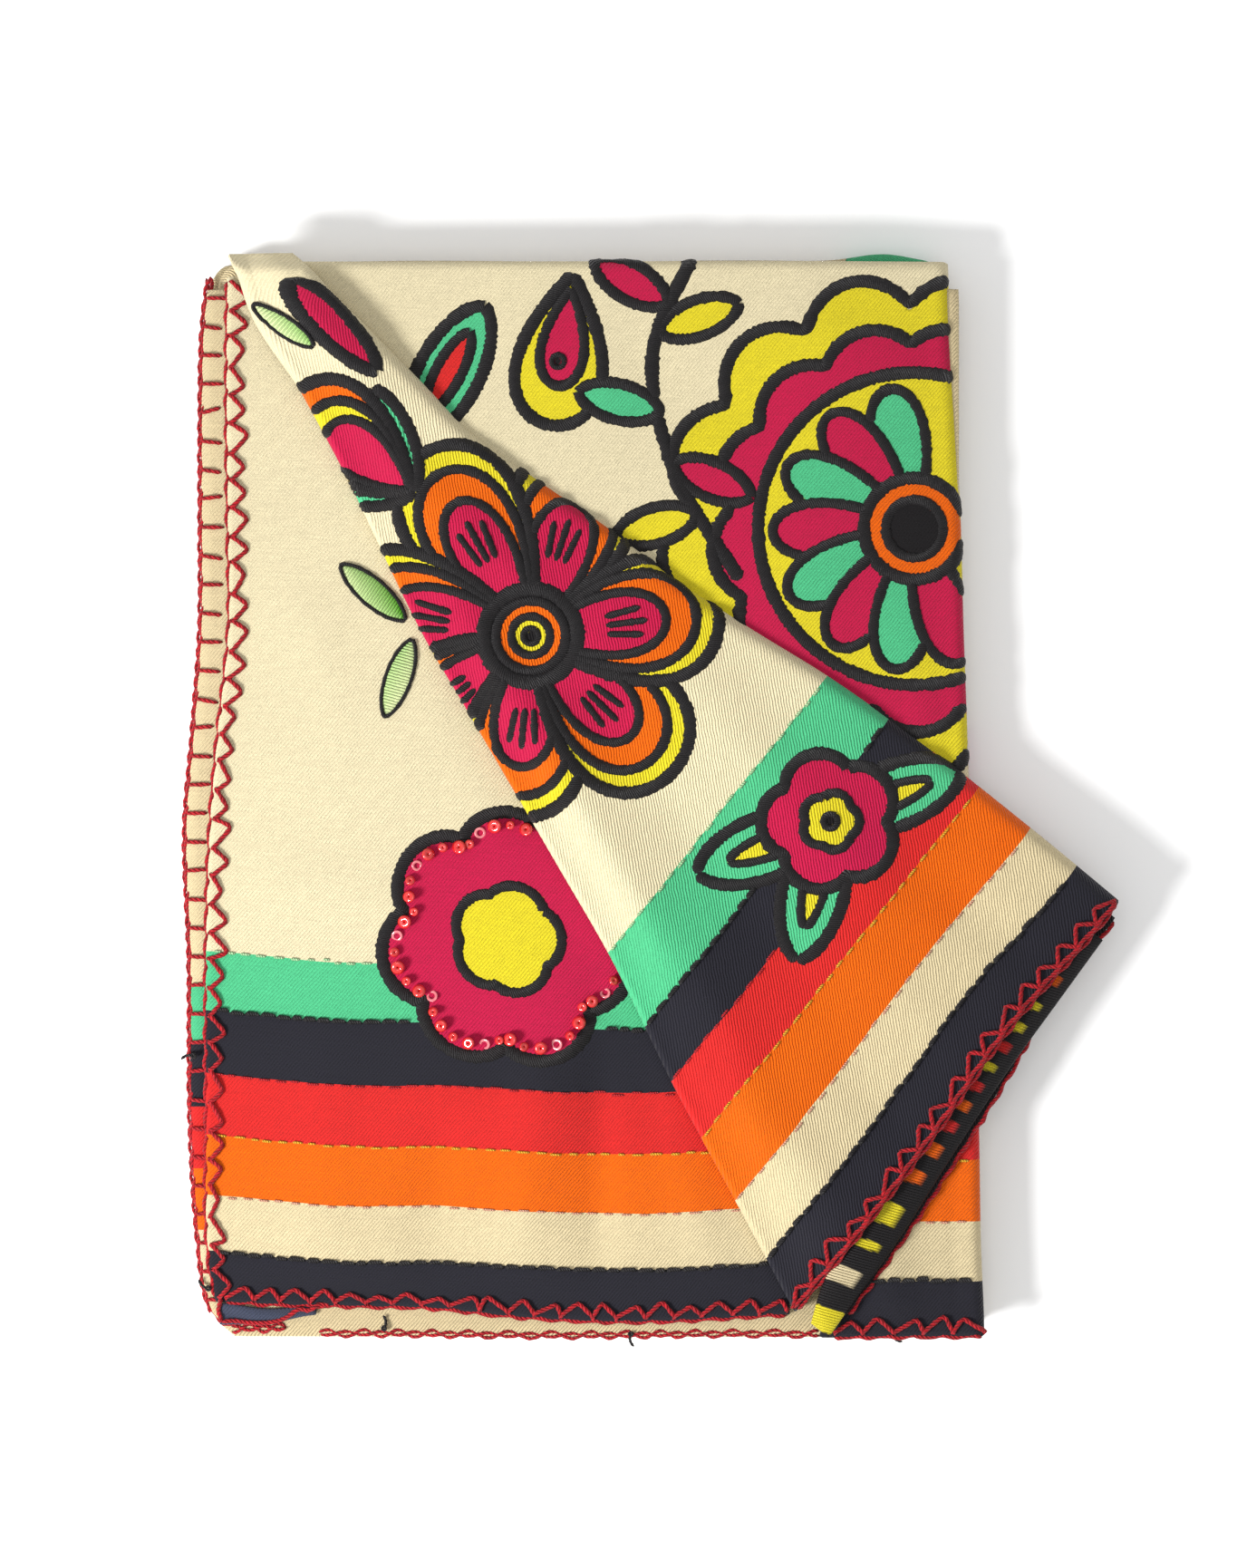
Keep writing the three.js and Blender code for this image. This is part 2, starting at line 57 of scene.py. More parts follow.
# %% Sizes of the cloth and of the pack
CLOTH = 1.2
GAP = 0.3
LAYER = CLOTH + GAP
ROLL = 0.85
SKIN = CLOTH / 2
PACK_HEIGHT = 11.8
PACK_SLOPE = 0.011
FRONT_Y = -148.4
BACK_Y = 147.0
BACK_ROLL = 1.7
LEFT_FOOT_Y = -139.4
RIGHT_HEM_Y = FRONT_Y - 0.4
REVERSE_HEM_Y = FRONT_Y - 0.6


def table(names, rows):
    """Turns rows with named columns into one array for each column."""
    return dict(zip(names.split(), np.array(rows, float).T))


def along(sections, station, column):
    """Reads a column at stations between the rows, on a smooth curve through them."""
    x = next(iter(sections.values()))
    y = sections[column]
    slope = np.empty_like(y)
    slope[1:-1] = (y[2:] - y[:-2]) / (x[2:] - x[:-2])
    slope[0] = (y[1] - y[0]) / (x[1] - x[0])
    slope[-1] = (y[-1] - y[-2]) / (x[-1] - x[-2])
    i = np.clip(np.searchsorted(x, station) - 1, 0, len(x) - 2)
    span = x[i + 1] - x[i]
    s = np.clip((station - x[i]) / span, 0, 1)
    start = (2 * s**3 - 3 * s**2 + 1) * y[i] + (s**3 - 2 * s**2 + s) * span * slope[i]
    return start + (3 * s**2 - 2 * s**3) * y[i + 1] + (s**3 - s**2) * span * slope[i + 1]


def rise(value, start, end):
    """Goes smoothly from 0 at start to 1 at end."""
    s = np.clip((np.asarray(value, float) - start) / (end - start), 0, 1)
    return s * s * (3 - 2 * s)


def hump(value, middle, width):
    """A smooth hump that is 1 at its middle."""
    return np.exp(-(((value - middle) / width) ** 2))


FLAP_SECTIONS = table("v fold ridge", [
    (0, 0, 144.4), (30, 13.2, 145), (64, 28, 145), (99, 44.8, 143.4), (127, 56, 140.2),
    (151, 65.4, 138), (174, 74.4, 137.6), (196, 83, 136), (222, 95.5, 135), (238, 103.4, 137),
    (261, 113.4, 139.8), (277, 120, 141.2), (291, 127.5, 142.4), (302, 131.1, 143),
])
SIDE_EDGES = table("y back_half left_panel right_panel", [
    (-152, -112, -113, 91.6), (-143, -121.6, -119.5, 91.4), (-124, -125.3, -123.1, 90.6),
    (-90, -127.5, -123.4, 90), (-45, -127.8, -123.5, 88.6), (-10, -129, -122.5, 87.6),
    (18, -126.8, -120.2, 86.8), (46, -124.8, -117.3, 85.8), (75, -124.7, -117.5, 85),
    (102, -124.7, -117.8, 83.6), (128, -124.2, -117.8, 82), (150, -121.6, -117.4, 81.4),
])
LEFT_HEM = table("x y", [
    (-124, -139.2), (-100, -140.3), (-78, -140.7), (-60, -141.2), (-40, -143.3), (-20, -144.6),
    (0, -144.8), (20, -143.8), (39, -142.6),
])
RETURN_HEM = table("u hem", [
    (8, -12), (24, -11.6), (40, -10.7), (65, -8.5), (88, -6), (104, -3.4), (120, -2.2), (140, -2.6),
])
print("the flap has", len(FLAP_SECTIONS["v"]), "sections")

# %% [markdown]
# On the real scarf each layer rests on those below it. The heights could be typed in one by one,
# but then a change of one layer would leave a gap or an overlap. So each height is worked out from
# the layers below, just as the pack was folded. The flap climbs from its fold onto the layers
# under it, is lifted by the rolled stretch under its hem, and sinks a little where its tip hangs
# past the pack. Near the back it swells softly before it rolls down over the pack's back.

# %% Heights of the layers
HIDDEN_FOLD_X = 38.0
RIGHT_SETTLE = 50.0
PACK_RIGHT_X = 88.0
TIP_DROOP = 0.0018
SETTLING = 0.3
FLAP_FOOT = np.array([38.75, -142.25])
FLAP_TURN = math.radians(51.64)
HEM_WAY = np.array([math.cos(FLAP_TURN), math.sin(FLAP_TURN)])
INWARDS = np.array([-HEM_WAY[1], HEM_WAY[0]])
HEM_BOW = 2.5
BOW_MIDDLE = 97
BOW_WIDTH = 28
BOW_REACH = 60
END_SLANT = 1.263
END_MIDDLE = 132
END_REACH = (262, 302)
SWELL_REACH = (232, 262)
END_SWELL = 2
CLIMB_WIDTH = 18
HEM_LIFT = 2.7
LIFT_REACH = 48
LIFT_START = (4, 26)


def back_half_height(x):
    return PACK_HEIGHT + PACK_SLOPE * x + GAP + CLOTH / 2


def left_panel_height(x):
    return back_half_height(x) + LAYER


def right_panel_height(x):
    drop = rise(x, HIDDEN_FOLD_X, HIDDEN_FOLD_X + RIGHT_SETTLE)
    return back_half_height(x) + LAYER * (3 - 2 * drop)


def return_height(x):
    return right_panel_height(x) + LAYER + SETTLING - TIP_DROOP * np.maximum(0, x - PACK_RIGHT_X) ** 2


def from_foot(u, v):
    """Place in the pack of a point that is measured from the flap's foot, along its hem and in."""
    return [FLAP_FOOT[k] + HEM_WAY[k] * u + INWARDS[k] * v for k in (0, 1)]


def flap_plan(u, v):
    """Place of a point of the flap in the pack, seen from above."""
    bow = HEM_BOW * hump(u, BOW_MIDDLE, BOW_WIDTH) * rise(BOW_REACH - v, 0, BOW_REACH)
    slant = END_SLANT * (u - END_MIDDLE) * rise(v, *END_REACH)
    return from_foot(u, v + bow - slant)


def flap_height(u, v):
    x, _ = flap_plan(u, v)
    fold = along(FLAP_SECTIONS, v, "fold")
    ridge = along(FLAP_SECTIONS, v, "ridge")
    climb_width = np.minimum(CLIMB_WIDTH, 0.7 * (ridge - fold))
    at_fold = back_half_height(x) + 2 * LAYER + 2 * ROLL
    over_return = return_height(x) + 2 * ROLL + SETTLING / 2
    climb = rise((u - fold) / climb_width, 0, 1)
    lift = HEM_LIFT * rise(LIFT_REACH - v, 0, LIFT_REACH) * rise(u, *LIFT_START) * rise(u - fold, *LIFT_START)
    return at_fold + (over_return - at_fold) * climb + lift + END_SWELL * rise(v, *SWELL_REACH)


print("the flap's middle is", round(float(flap_height(90.0, 120.0)), 1), "mm above the floor")


# %% [markdown]
# Cloth never lies dead flat. Noise would make it uneven everywhere alike, while real creases run
# from a fold or a corner and fade out. So these are placed one by one: a row says where a soft
# trough or ridge starts and ends in the pack, how wide it is and how far it rises. They are low,
# because thick stitching holds the cloth out.

# %% Creases
PACK_CREASES = table("x0 y0 x1 y1 width rise", [
    (-112, -20, -60, -34, 9, 0.5), (-118, -64, -70, -52, 7, -0.4), (-100, 60, -84, 20, 10, 0.5),
    (-70, -88, -10, -84, 8, 0.5), (-108, -120, -60, -126, 7, 0.4), (-92, -136, -88, -60, 9, 0.5),
    (-36, -132, -30, -66, 9, 1.5), (-16, -134, -14, -64, 6, -1.3), (16, -128, 2, -70, 7, 1.2),
    (16, -112, -22, -34, 9, -1.0), (-30, -10, -58, 44, 8, -0.8), (-62, -134, -58, -84, 8, -0.8),
    (30, 60, 76, 84, 12, 0.7), (-10, 120, 40, 98, 12, -0.6), (40, 130, 78, 112, 9, 0.6),
    (66, 60, 80, 10, 9, 0.8), (-40, 128, -6, 110, 9, 0.6), (84, -88, 85, -150, 3, -0.9),
    (62, -90, 66, -150, 7, 1.4), (-118, 96, -96, 118, 6, 0.5),
])
FLAP_CREASES = table("x0 y0 x1 y1 width rise", [
    (40, 36, 90, 190, 8, 1.7), (66, 30, 108, 200, 9, -1.3), (100, 24, 122, 150, 10, 1.5),
    (108, 160, 120, 262, 7, 1.4), (30, 0, 40, 60, 7, 1.1), (56, 0, 62, 34, 8, -0.8),
    (84, 0, 92, 60, 9, 1.0), (116, 0, 118, 44, 7, -0.8), (86, 112, 132, 96, 8, -0.9),
    (80, 150, 136, 162, 9, 0.9), (100, 222, 126, 214, 6, -0.6), (26, -4, 116, -4, 15, 2.4),
    (130, 226, 131, 292, 6, 1.6), (34, 44, 58, 92, 5, -1.0),
])


def soft_creases(creases, x, y):
    """Height of all creases of a table at a place."""
    total = 0.12 * np.sin(x / 17 + 1.3) * np.sin(y / 23 + 0.4)
    for x0, y0, x1, y1, width, height in zip(*creases.values()):
        run = np.array([x1 - x0, y1 - y0])
        length = np.hypot(*run)
        s = ((x - x0) * run[0] + (y - y0) * run[1]) / length
        across = ((x - x0) * run[1] - (y - y0) * run[0]) / length
        ends = rise(s / length, -0.2, 0.3) * rise(1 - s / length, -0.2, 0.3)
        total = total + height * hump(across, 0, width) * ends
    return total


print("creases placed:", len(PACK_CREASES["x0"]) + len(FLAP_CREASES["x0"]))

# %% [markdown]
# A stretch is a small object that turns places on the flat cloth into places in the pack. Stitches
# could be shrink-wrapped onto the finished cloth, but they would slide at the folds. Here the
# print, the stitches and the beads all ask the stretch where they lie, so they follow every fold
# and roll of the cloth by themselves. A fold is a tight half turn: past it the cloth goes down and
# under.

# %% Stretches of cloth
RIDGE_ROLL = 4.6
RIDGE_TIGHTENS = (240, 290)
END_ROLL = 1.7
BACK_DROP = 6.5
DROP_REACH = (143, 150)
FLAT_END = 9
HEM_SAG = 2.2
SAG_MIDDLE = -78
SAG_WIDTH = 32
SIDE_ROLL = 2.6
FAR = 1000.0


def unit(vectors):
    """Scales vectors to length one."""
    return vectors / np.maximum(np.linalg.norm(vectors, axis=-1, keepdims=True), 1e-9)


class Stretch:
    """A stretch of cloth: where it is in the pack, and how far it reaches along its hem."""

    def __init__(self, place, limits, length):
        self.place = place
        self.limits = limits
        self.length = length

    def on(self, u, v, above=SKIN):
        """Places on the cloth, moved out from its middle along its normal."""
        u = np.asarray(u, float)
        v = np.asarray(v, float)
        step = 0.2
        along_u = self.place(u + step, v) - self.place(u - step, v)
        along_v = self.place(u, v + step) - self.place(u, v - step)
        return self.place(u, v) + unit(np.cross(along_u, along_v)) * np.asarray(above, float)[..., None]


def rolled(station, first, last, first_radius, last_radius):
    """Bends the ends of a flat section down: gives its new station and how far it drops."""
    before = np.clip((first - station) / first_radius, 0, 2.8)
    after = np.clip((station - last) / last_radius, 0, 2.8)
    middle = np.clip(station, first, last)
    moved = middle - first_radius * np.sin(before) + last_radius * np.sin(after)
    drop = first_radius * (1 - np.cos(before)) + last_radius * (1 - np.cos(after))
    return moved, middle, drop


def place_flap(u, v):
    v = np.asarray(v, float)
    fold_roll = ROLL + END_ROLL * rise(v, *SWELL_REACH)
    first = along(FLAP_SECTIONS, v, "fold") + SKIN + fold_roll
    ridge_roll = RIDGE_ROLL * (1 - 0.5 * rise(v, *RIDGE_TIGHTENS))
    last = along(FLAP_SECTIONS, v, "ridge") - SKIN - ridge_roll
    moved, middle, drop = rolled(u, first, last, fold_roll, ridge_roll)
    x, y = flap_plan(moved, v)
    drop = (drop**4 + (BACK_DROP * rise(y, *DROP_REACH)) ** 4) ** 0.25
    relief = soft_creases(FLAP_CREASES, middle, v)
    relief = relief * rise(middle - first, 0, 14) * rise(DROP_REACH[1] - y, 0, FLAT_END)
    return np.stack([x, y, flap_height(middle, v) - drop + relief], axis=-1)


def flap_limits(v):
    v = np.asarray(v, float)
    last = along(FLAP_SECTIONS, v, "ridge") + 0.8 * RIDGE_ROLL - SKIN
    return along(FLAP_SECTIONS, v, "fold") - SKIN, last


def left_hem_y(x):
    return along(LEFT_HEM, x, "y")


def place_left(u, v):
    u = np.asarray(u, float)
    sag = HEM_SAG * hump(u, SAG_MIDDLE, SAG_WIDTH)
    y = left_hem_y(u) + v - sag * rise(v, 0, 12) * rise(200 - v, 0, 90)
    relief = soft_creases(PACK_CREASES, u, y) * rise(u, -122, -108) * rise(y, -141, -130)
    return np.stack([u + 0 * y, y, left_panel_height(u) + relief], axis=-1)


def left_limits(v):
    edge = along(SIDE_EDGES, np.asarray(v, float) + LEFT_FOOT_Y, "left_panel") + SKIN
    return edge, np.full_like(edge, HIDDEN_FOLD_X - SKIN)


def place_right(u, v):
    v = np.asarray(v, float)
    flat_y = v + RIGHT_HEM_Y
    back = BACK_Y - SKIN - BACK_ROLL
    y, _, back_drop = rolled(flat_y, -FAR, back, BACK_ROLL, BACK_ROLL)
    last = along(SIDE_EDGES, y, "right_panel") - SKIN - SIDE_ROLL
    x, middle, drop = rolled(u, -FAR, last, SIDE_ROLL, SIDE_ROLL)
    z = right_panel_height(middle) - drop - back_drop
    relief = soft_creases(PACK_CREASES, x, y) * rise(last - middle, 0, 12)
    z = z + relief * rise(back - y, 0, 14) * rise(v, 0, 10)
    return np.stack([x + 0 * y, y + 0 * x, z], axis=-1)


RIGHT_HIDDEN_EDGE = table("y x", [
    (-150, 46), (-142, 48), (-132, 51), (-113, 42.5), (-81, 25), (-46, 8.3), (-20, -6.6), (2, -20),
    (24, -32), (45, -44.6), (66, -54.8), (86, -64.4), (108, -76), (122, -88), (138, -99), (148, -106),
])


def right_limits(v):
    y = np.minimum(np.asarray(v, float) + RIGHT_HEM_Y, BACK_Y - 1)
    return along(RIGHT_HIDDEN_EDGE, y, "x"), along(SIDE_EDGES, y, "right_panel") + 0.6


def place_back(u, v):
    u = np.asarray(u, float)
    y = np.asarray(v, float) + REVERSE_HEM_Y
    return np.stack([u + 0 * y, y + 0 * u, back_half_height(u) + 0 * y], axis=-1)


def back_limits(v):
    edge = along(SIDE_EDGES, np.asarray(v, float) + REVERSE_HEM_Y, "back_half") + SKIN
    return edge, np.full_like(edge, 84.0)


def place_return(u, v):
    """v is measured from the flap's hem too, so it is below zero where this layer shows."""
    x, y = from_foot(u, v)
    return np.stack([x, y, return_height(x)], axis=-1)


flap = Stretch(place_flap, flap_limits, 302)
left = Stretch(place_left, left_limits, 282)
right = Stretch(place_right, right_limits, 298)
back = Stretch(place_back, back_limits, 288)
returned = Stretch(place_return, None, 60)
print("middle of the flap lies at", place_flap(90.0, 120.0).round(1), "mm")

# %% [markdown]
# All meshes go through one helper. It takes points in millimetres and faces, makes the object in
# metres, and can store values on the points, which the materials read: the place on the flat
# cloth, the colour of the print, or how far along a thread a point is. A UV map could hold the
# place too, but stored values are simpler where one mesh joins hundreds of stitches.

# %% Meshes


def add_mesh(name, points, faces, material, values=None):
    """Makes a mesh from points in millimetres. values holds arrays to store on its points."""
    mesh = bpy.data.meshes.new(name)
    mesh.from_pydata((np.asarray(points) * MM).tolist(), [], faces)
    mesh.materials.append(material)
    for key, array in (values or {}).items():
        kind = "FLOAT_COLOR" if array.shape[1] == 4 else "FLOAT_VECTOR"
        field = "color" if array.shape[1] == 4 else "vector"
        mesh.attributes.new(key, kind, "POINT").data.foreach_set(field, array.astype(np.float32).ravel())
    mesh.shade_smooth()
    mesh.update()
    piece = bpy.data.objects.new(name, mesh)
    bpy.context.scene.collection.objects.link(piece)
    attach(piece, "root")
    return piece


def quads(rows, columns, first=0, closed=False):
    """Faces of a grid of points, each row closed on itself where it is a ring."""
    i, j = np.meshgrid(np.arange(rows - 1), np.arange(columns if closed else columns - 1), indexing="ij")
    a = first + i * columns + j
    b = first + i * columns + (j + 1) % columns
    return np.stack([a, b, b + columns, a + columns], axis=-1).reshape(-1, 4).tolist()


def tube_faces(rows, columns, first=0):
    """Faces of a tube of rings, with a cap on both ends."""
    last = first + (rows - 1) * columns
    caps = [list(range(first, first + columns))[::-1], list(range(last, last + columns))]
    return quads(rows, columns, first, closed=True) + caps


def shell(grid_u, grid_v, stretch, thickness=1.0):
    """Closed thin shell over a grid of places on a stretch. Gives points, faces and the places."""
    rows, columns = grid_u.shape
    top = stretch.on(grid_u, grid_v, np.full(grid_u.shape, SKIN))
    low = stretch.on(grid_u, grid_v, np.full(grid_u.shape, SKIN - thickness))
    points = np.concatenate([top.reshape(-1, 3), low.reshape(-1, 3)])
    upper = quads(rows, columns)
    lower = [face[::-1] for face in quads(rows, columns, rows * columns)]
    ring = [(0, j) for j in range(columns - 1)] + [(i, columns - 1) for i in range(rows - 1)]
    ring += [(rows - 1, j) for j in range(columns - 1, 0, -1)] + [(i, 0) for i in range(rows - 1, 0, -1)]
    edge = np.array([i * columns + j for i, j in ring])
    middle = (points[edge] + points[edge + rows * columns]) / 2
    tangent = np.roll(middle, -1, axis=0) - np.roll(middle, 1, axis=0)
    outwards = unit(np.cross(tangent, points[edge] - points[edge + rows * columns]))
    if np.mean(np.sum(outwards * (middle - points.mean(axis=0)), axis=1)) < 0:
        outwards = -outwards
    rim = middle + outwards * thickness * 0.45
    first = len(points)
    points = np.concatenate([points, rim])
    faces = upper + lower
    for k in range(len(edge)):
        n = (k + 1) % len(edge)
        a, b = int(edge[k]), int(edge[n])
        faces.append([b, a, first + k, first + n])
        faces.append([first + n, first + k, a + rows * columns, b + rows * columns])
    flat = np.stack([grid_u, grid_v, 0 * grid_u], axis=-1).reshape(-1, 3)
    flat = np.concatenate([flat, flat, flat[edge]])
    return points, faces, flat


def lay_grid(stretch, rows, columns):
    """Even grid of places over a stretch, from one side to the other on each row."""
    v = np.linspace(0, stretch.length, rows)
    low, high = stretch.limits(v)
    share = np.linspace(0, 1, columns)
    return low[:, None] + (high - low)[:, None] * share, np.repeat(v[:, None], columns, axis=1)


print("a ring of 8 points and 3 rows has", len(tube_faces(3, 8)), "faces")

# %% [markdown]
# Materials could be wired node by node, which is long to write and hard to read. Here they are
# written as sums. The class below wraps one socket, so that an expression such as 1 - mask * 0.5
# adds the Math nodes it needs. Its node method makes any other node: first its settings, then its
# inputs, which may be numbers or sockets.

# %% Shader expressions


class Value:
    """One output socket of a material, with arithmetic."""

    def __init__(self, tree, socket):
        self.tree = tree
        self.socket = socket

    def math(self, operation, *inputs):
        node = self.tree.nodes.new("ShaderNodeMath")
        node.operation = operation
        for slot_input, value in zip(node.inputs, inputs):
            feed(self.tree, slot_input, value)
        return Value(self.tree, node.outputs[0])

    def __add__(self, other):
        return self.math("ADD", self, other)

    def __sub__(self, other):
        return self.math("SUBTRACT", self, other)

    def __rsub__(self, other):
        return self.math("SUBTRACT", other, self)

    def __mul__(self, other):
        return self.math("MULTIPLY", self, other)

    def __truediv__(self, other):
        return self.math("DIVIDE", self, other)

    __radd__ = __add__
    __rmul__ = __mul__

    def sine(self):
        return self.math("SINE", self)

    def above(self, limit):
        return self.math("GREATER_THAN", self, limit)


def feed(tree, socket, value):
    """Sets a socket to a number or a colour, or links it to another socket."""
    if isinstance(value, Value):
        tree.links.new(value.socket, socket)
    else:
        socket.default_value = value


class Paint:
    """A new material with a Principled shader, and one method that adds any node."""

    def __init__(self, name, **settings):
        self.material = bpy.data.materials.new(name)
        self.material.use_nodes = True
        self.tree = self.material.node_tree
        self.shader = next(n for n in self.tree.nodes if n.type == "BSDF_PRINCIPLED")
        for label, value in settings.items():
            self.shader.inputs[label.replace("_", " ")].default_value = value

    def node(self, kind, settings, inputs, output=0):
        node = self.tree.nodes.new(kind)
        for label, value in settings.items():
            if label == "stops":
                set_stops(node, value)
            else:
                setattr(node, label, value)
        for label, value in inputs.items():
            feed(self.tree, node.inputs[label], value)
        return Value(self.tree, node.outputs[output])

    def attribute(self, name, output="Vector"):
        return self.node("ShaderNodeAttribute", {"attribute_name": name}, {}, output)

    def split(self, vector):
        node = self.tree.nodes.new("ShaderNodeSeparateXYZ")
        feed(self.tree, node.inputs[0], vector)
        return [Value(self.tree, out) for out in node.outputs]

    def mix(self, factor, first, second, blend="MIX"):
        settings = {"data_type": "RGBA", "blend_type": blend}
        return self.node("ShaderNodeMix", settings, {0: factor, 6: first, 7: second}, 2)

    def shaded(self, colour, shade):
        """The colour made lighter or darker by a number."""
        grey = self.node("ShaderNodeCombineColor", {}, {0: shade, 1: shade, 2: shade})
        return self.mix(1.0, colour, grey, "MULTIPLY")

    def noise(self, vector, scale, detail=2.0):
        return self.node("ShaderNodeTexNoise", {}, {"Vector": vector, "Scale": scale, "Detail": detail})

    def finish(self, colour, roughness, height=None, depth=0.1):
        """Links the colour and the roughness, and a bump whose depth is in millimetres."""
        feed(self.tree, self.shader.inputs["Base Color"], colour)
        feed(self.tree, self.shader.inputs["Roughness"], roughness)
        if height is not None:
            bump = self.node("ShaderNodeBump", {}, {"Height": height, "Distance": depth * MM})
            feed(self.tree, self.shader.inputs["Normal"], bump)
        return self.material


def set_stops(node, stops):
    """Fills a colour ramp with hard steps. Each stop is a place and a colour."""
    ramp = node.color_ramp
    ramp.interpolation = "CONSTANT"
    while len(ramp.elements) < len(stops):
        ramp.elements.new(1.0)
    for element, (place, colour) in zip(ramp.elements, stops):
        element.position = place
        element.color = colour


FULL_LIGHT = 1.4


def linear(red, green, blue):
    """Colour of a finish that shows these 0 to 255 values on a screen when it is in full light."""
    c = np.array([red, green, blue]) / 255
    c = np.where(c <= 0.04045, c / 12.92, ((c + 0.055) / 1.055) ** 2.4) / FULL_LIGHT
    return (float(c[0]), float(c[1]), float(c[2]), 1.0)


print("a mid grey of 128 is", round(linear(128, 128, 128)[0], 3), "in a shader")

# %% [markdown]
# The palette of the print: a cream ground, the border colours, and the pinks and yellow of the
# motifs. The outlines are thick black embroidery, and a red yarn runs round every edge. A screen
# colour can't go straight into a shader, because the lights brighten it again. So each one is
# turned into a linear colour and divided by the brightness of full light.

# %% Palette
CREAM = linear(243, 229, 188)
CREAM_STRIPE = linear(232, 214, 170)
CREAM_REVERSE = linear(236, 216, 170)
NAVY = linear(39, 38, 47)
ORANGE = linear(250, 107, 4)
RED = linear(228, 43, 41)
GREEN = linear(86, 204, 143)
MAGENTA = linear(208, 26, 76)
YELLOW = linear(240, 222, 42)
BLACK = linear(27, 24, 26)
YARN_RED = linear(200, 12, 30)

BORDER = [NAVY, CREAM_STRIPE, ORANGE, RED, NAVY, GREEN, CREAM]
BORDER_LEFT = [13.6, 29.2, 45.7, 62.5, 80, 96.5]
BORDER_FLAP = [14.6, 31, 49.4, 65.6, 80.4, 101]
BORDER_RIGHT = [15, 31, 48, 64, 81, 98]
RAMP_REACH = 120.0
print("border stripes:", len(BORDER) - 1)

# %% [markdown]
# The cloth is a wool twill: fine diagonal ribs about 0.8 mm apart. Ribs in the mesh would take
# millions of faces. So the shader draws them: each rib carries a shallow bump, and its valley
# gets a little painted shade in the colour. The border stripes are hard steps along v, with a
# slightly wandering line because they are printed by hand. The reverse is the same cloth, but
# paler.

# %% Twill
RIB_PITCH = 1.05


def twill(name, edges, ground=CREAM, dull=0.0, first=NAVY):
    """Twill with the border stripes, and the print that is stored on the points."""
    paint = Paint(name, Sheen_Weight=0.1, Sheen_Roughness=0.5, Specular_IOR_Level=0.12)
    flat = paint.attribute("flat")
    u, v, _ = paint.split(flat)
    wander = paint.noise(flat, 0.06, 1.0) - 0.5
    place = (v + wander) / RAMP_REACH
    starts = [0.0] + [edge / RAMP_REACH for edge in edges]
    colours = [first] + BORDER[1:-1] + [ground]
    stops = list(zip(starts, colours))
    base = paint.node("ShaderNodeValToRGB", {"stops": stops}, {"Fac": place})
    pattern = paint.attribute("print", "Color")
    mask = paint.attribute("print", "Alpha").above(0.5)
    base = paint.mix(mask, base, pattern)
    bend = (paint.noise(flat, 0.3, 1.0) - 0.5) * 0.8
    weave = ((u - v * 0.9 + bend) * (2 * math.pi / RIB_PITCH)).sine()
    cloudy = paint.noise(flat, 0.035, 3.0) - 0.5
    fibre = paint.noise(flat, 2.2, 2.0) - 0.5
    drawn_out = paint.node("ShaderNodeVectorMath", {"operation": "MULTIPLY"}, {0: flat, 1: (0.12, 1.5, 1.0)})
    slub = paint.noise(drawn_out, 1.0, 2.0) - 0.5
    # weave adds painted shade in the valleys between the ribs; cloudy, fibre and slub vary the tone of the
    # yarn at random.
    shade = (0.97 - dull) + weave * 0.05 + cloudy * 0.09 + fibre * 0.22 + slub * 0.16
    relief = weave * 0.6 + fibre + slub * 0.5
    return paint.finish(paint.shaded(base, shade), 0.88 - fibre * 0.1, relief, 0.2)


twill_left = twill("twill_left", BORDER_LEFT)
twill_flap = twill("twill_flap", BORDER_FLAP)
twill_right = twill("twill_right", BORDER_RIGHT)
BORDER_BACK = [13, 29, 45.7, 62.5, 80, 96.5]
twill_back = twill("twill_back", BORDER_BACK, CREAM_REVERSE, 0.04, linear(222, 202, 158))
print("twill finishes made:", 4)

# %% [markdown]
# In embroidery the threads lie side by side across an outline. Each thread could be a mesh of its
# own, but there are many thousands. So on the points of each stitched line are stored how far
# along the line and how far across it they are, and the shader draws every thread as a slanting
# groove, with painted shade darkening the colour in each groove. The same finish serves the black
# outlines and the coloured satin stitch.

# %% Thread


def thread(name, colour, second=None, pitch=0.62, slant=0.5, gloss=0.52):
    """Embroidery thread, laid across a line."""
    paint = Paint(name, Sheen_Weight=0.06, Sheen_Roughness=0.4, Specular_IOR_Level=0.3)
    stitch = paint.attribute("stitch")
    s, t, tone = paint.split(stitch)
    wobble = paint.noise(stitch, 0.9, 2.0) - 0.5
    groove = ((s + t * slant + wobble * 0.35) * (2 * math.pi / pitch)).sine()
    fluff = paint.noise(stitch, 3.5, 3.0) - 0.5
    base = paint.mix(tone, colour, second or colour)
    # groove puts painted shade between the threads; fluff varies the tone at random.
    tone_and_groove_shade = paint.shaded(base, 0.95 + groove * 0.22 + fluff * 0.5)
    return paint.finish(tone_and_groove_shade, gloss - groove * 0.06, groove * 0.6 + fluff * 0.5, 0.3)


black_thread = thread("black_thread", BLACK, linear(38, 34, 36))
yarn_finish = thread("edge_yarn", YARN_RED, linear(146, 4, 20), 1.3, 1.2, 0.7)
leaf_thread = thread("leaf_thread", linear(240, 252, 186), linear(96, 182, 44), 0.8, 0.1, 0.36)
green_thread = thread("green_thread", linear(190, 236, 178))
gold_thread = thread("gold_thread", linear(250, 186, 40))
pink_thread = thread("pink_thread", linear(240, 178, 150))
red_thread = thread("red_thread", linear(206, 30, 40))
print("thread finishes made:", 7)

# %% [markdown]
# The motifs are ordinary folk flowers: petals, scalloped rosettes, drops, leaves and a vine.
# Painted images would be the usual way, but formulas stay sharp at any size. Each shape is a
# formula that gives points on the flat cloth. A helper decides which points of the cloth lie
# inside a shape and colours them, and a thick stitched line hides the boundary.

# %% Shapes of the print


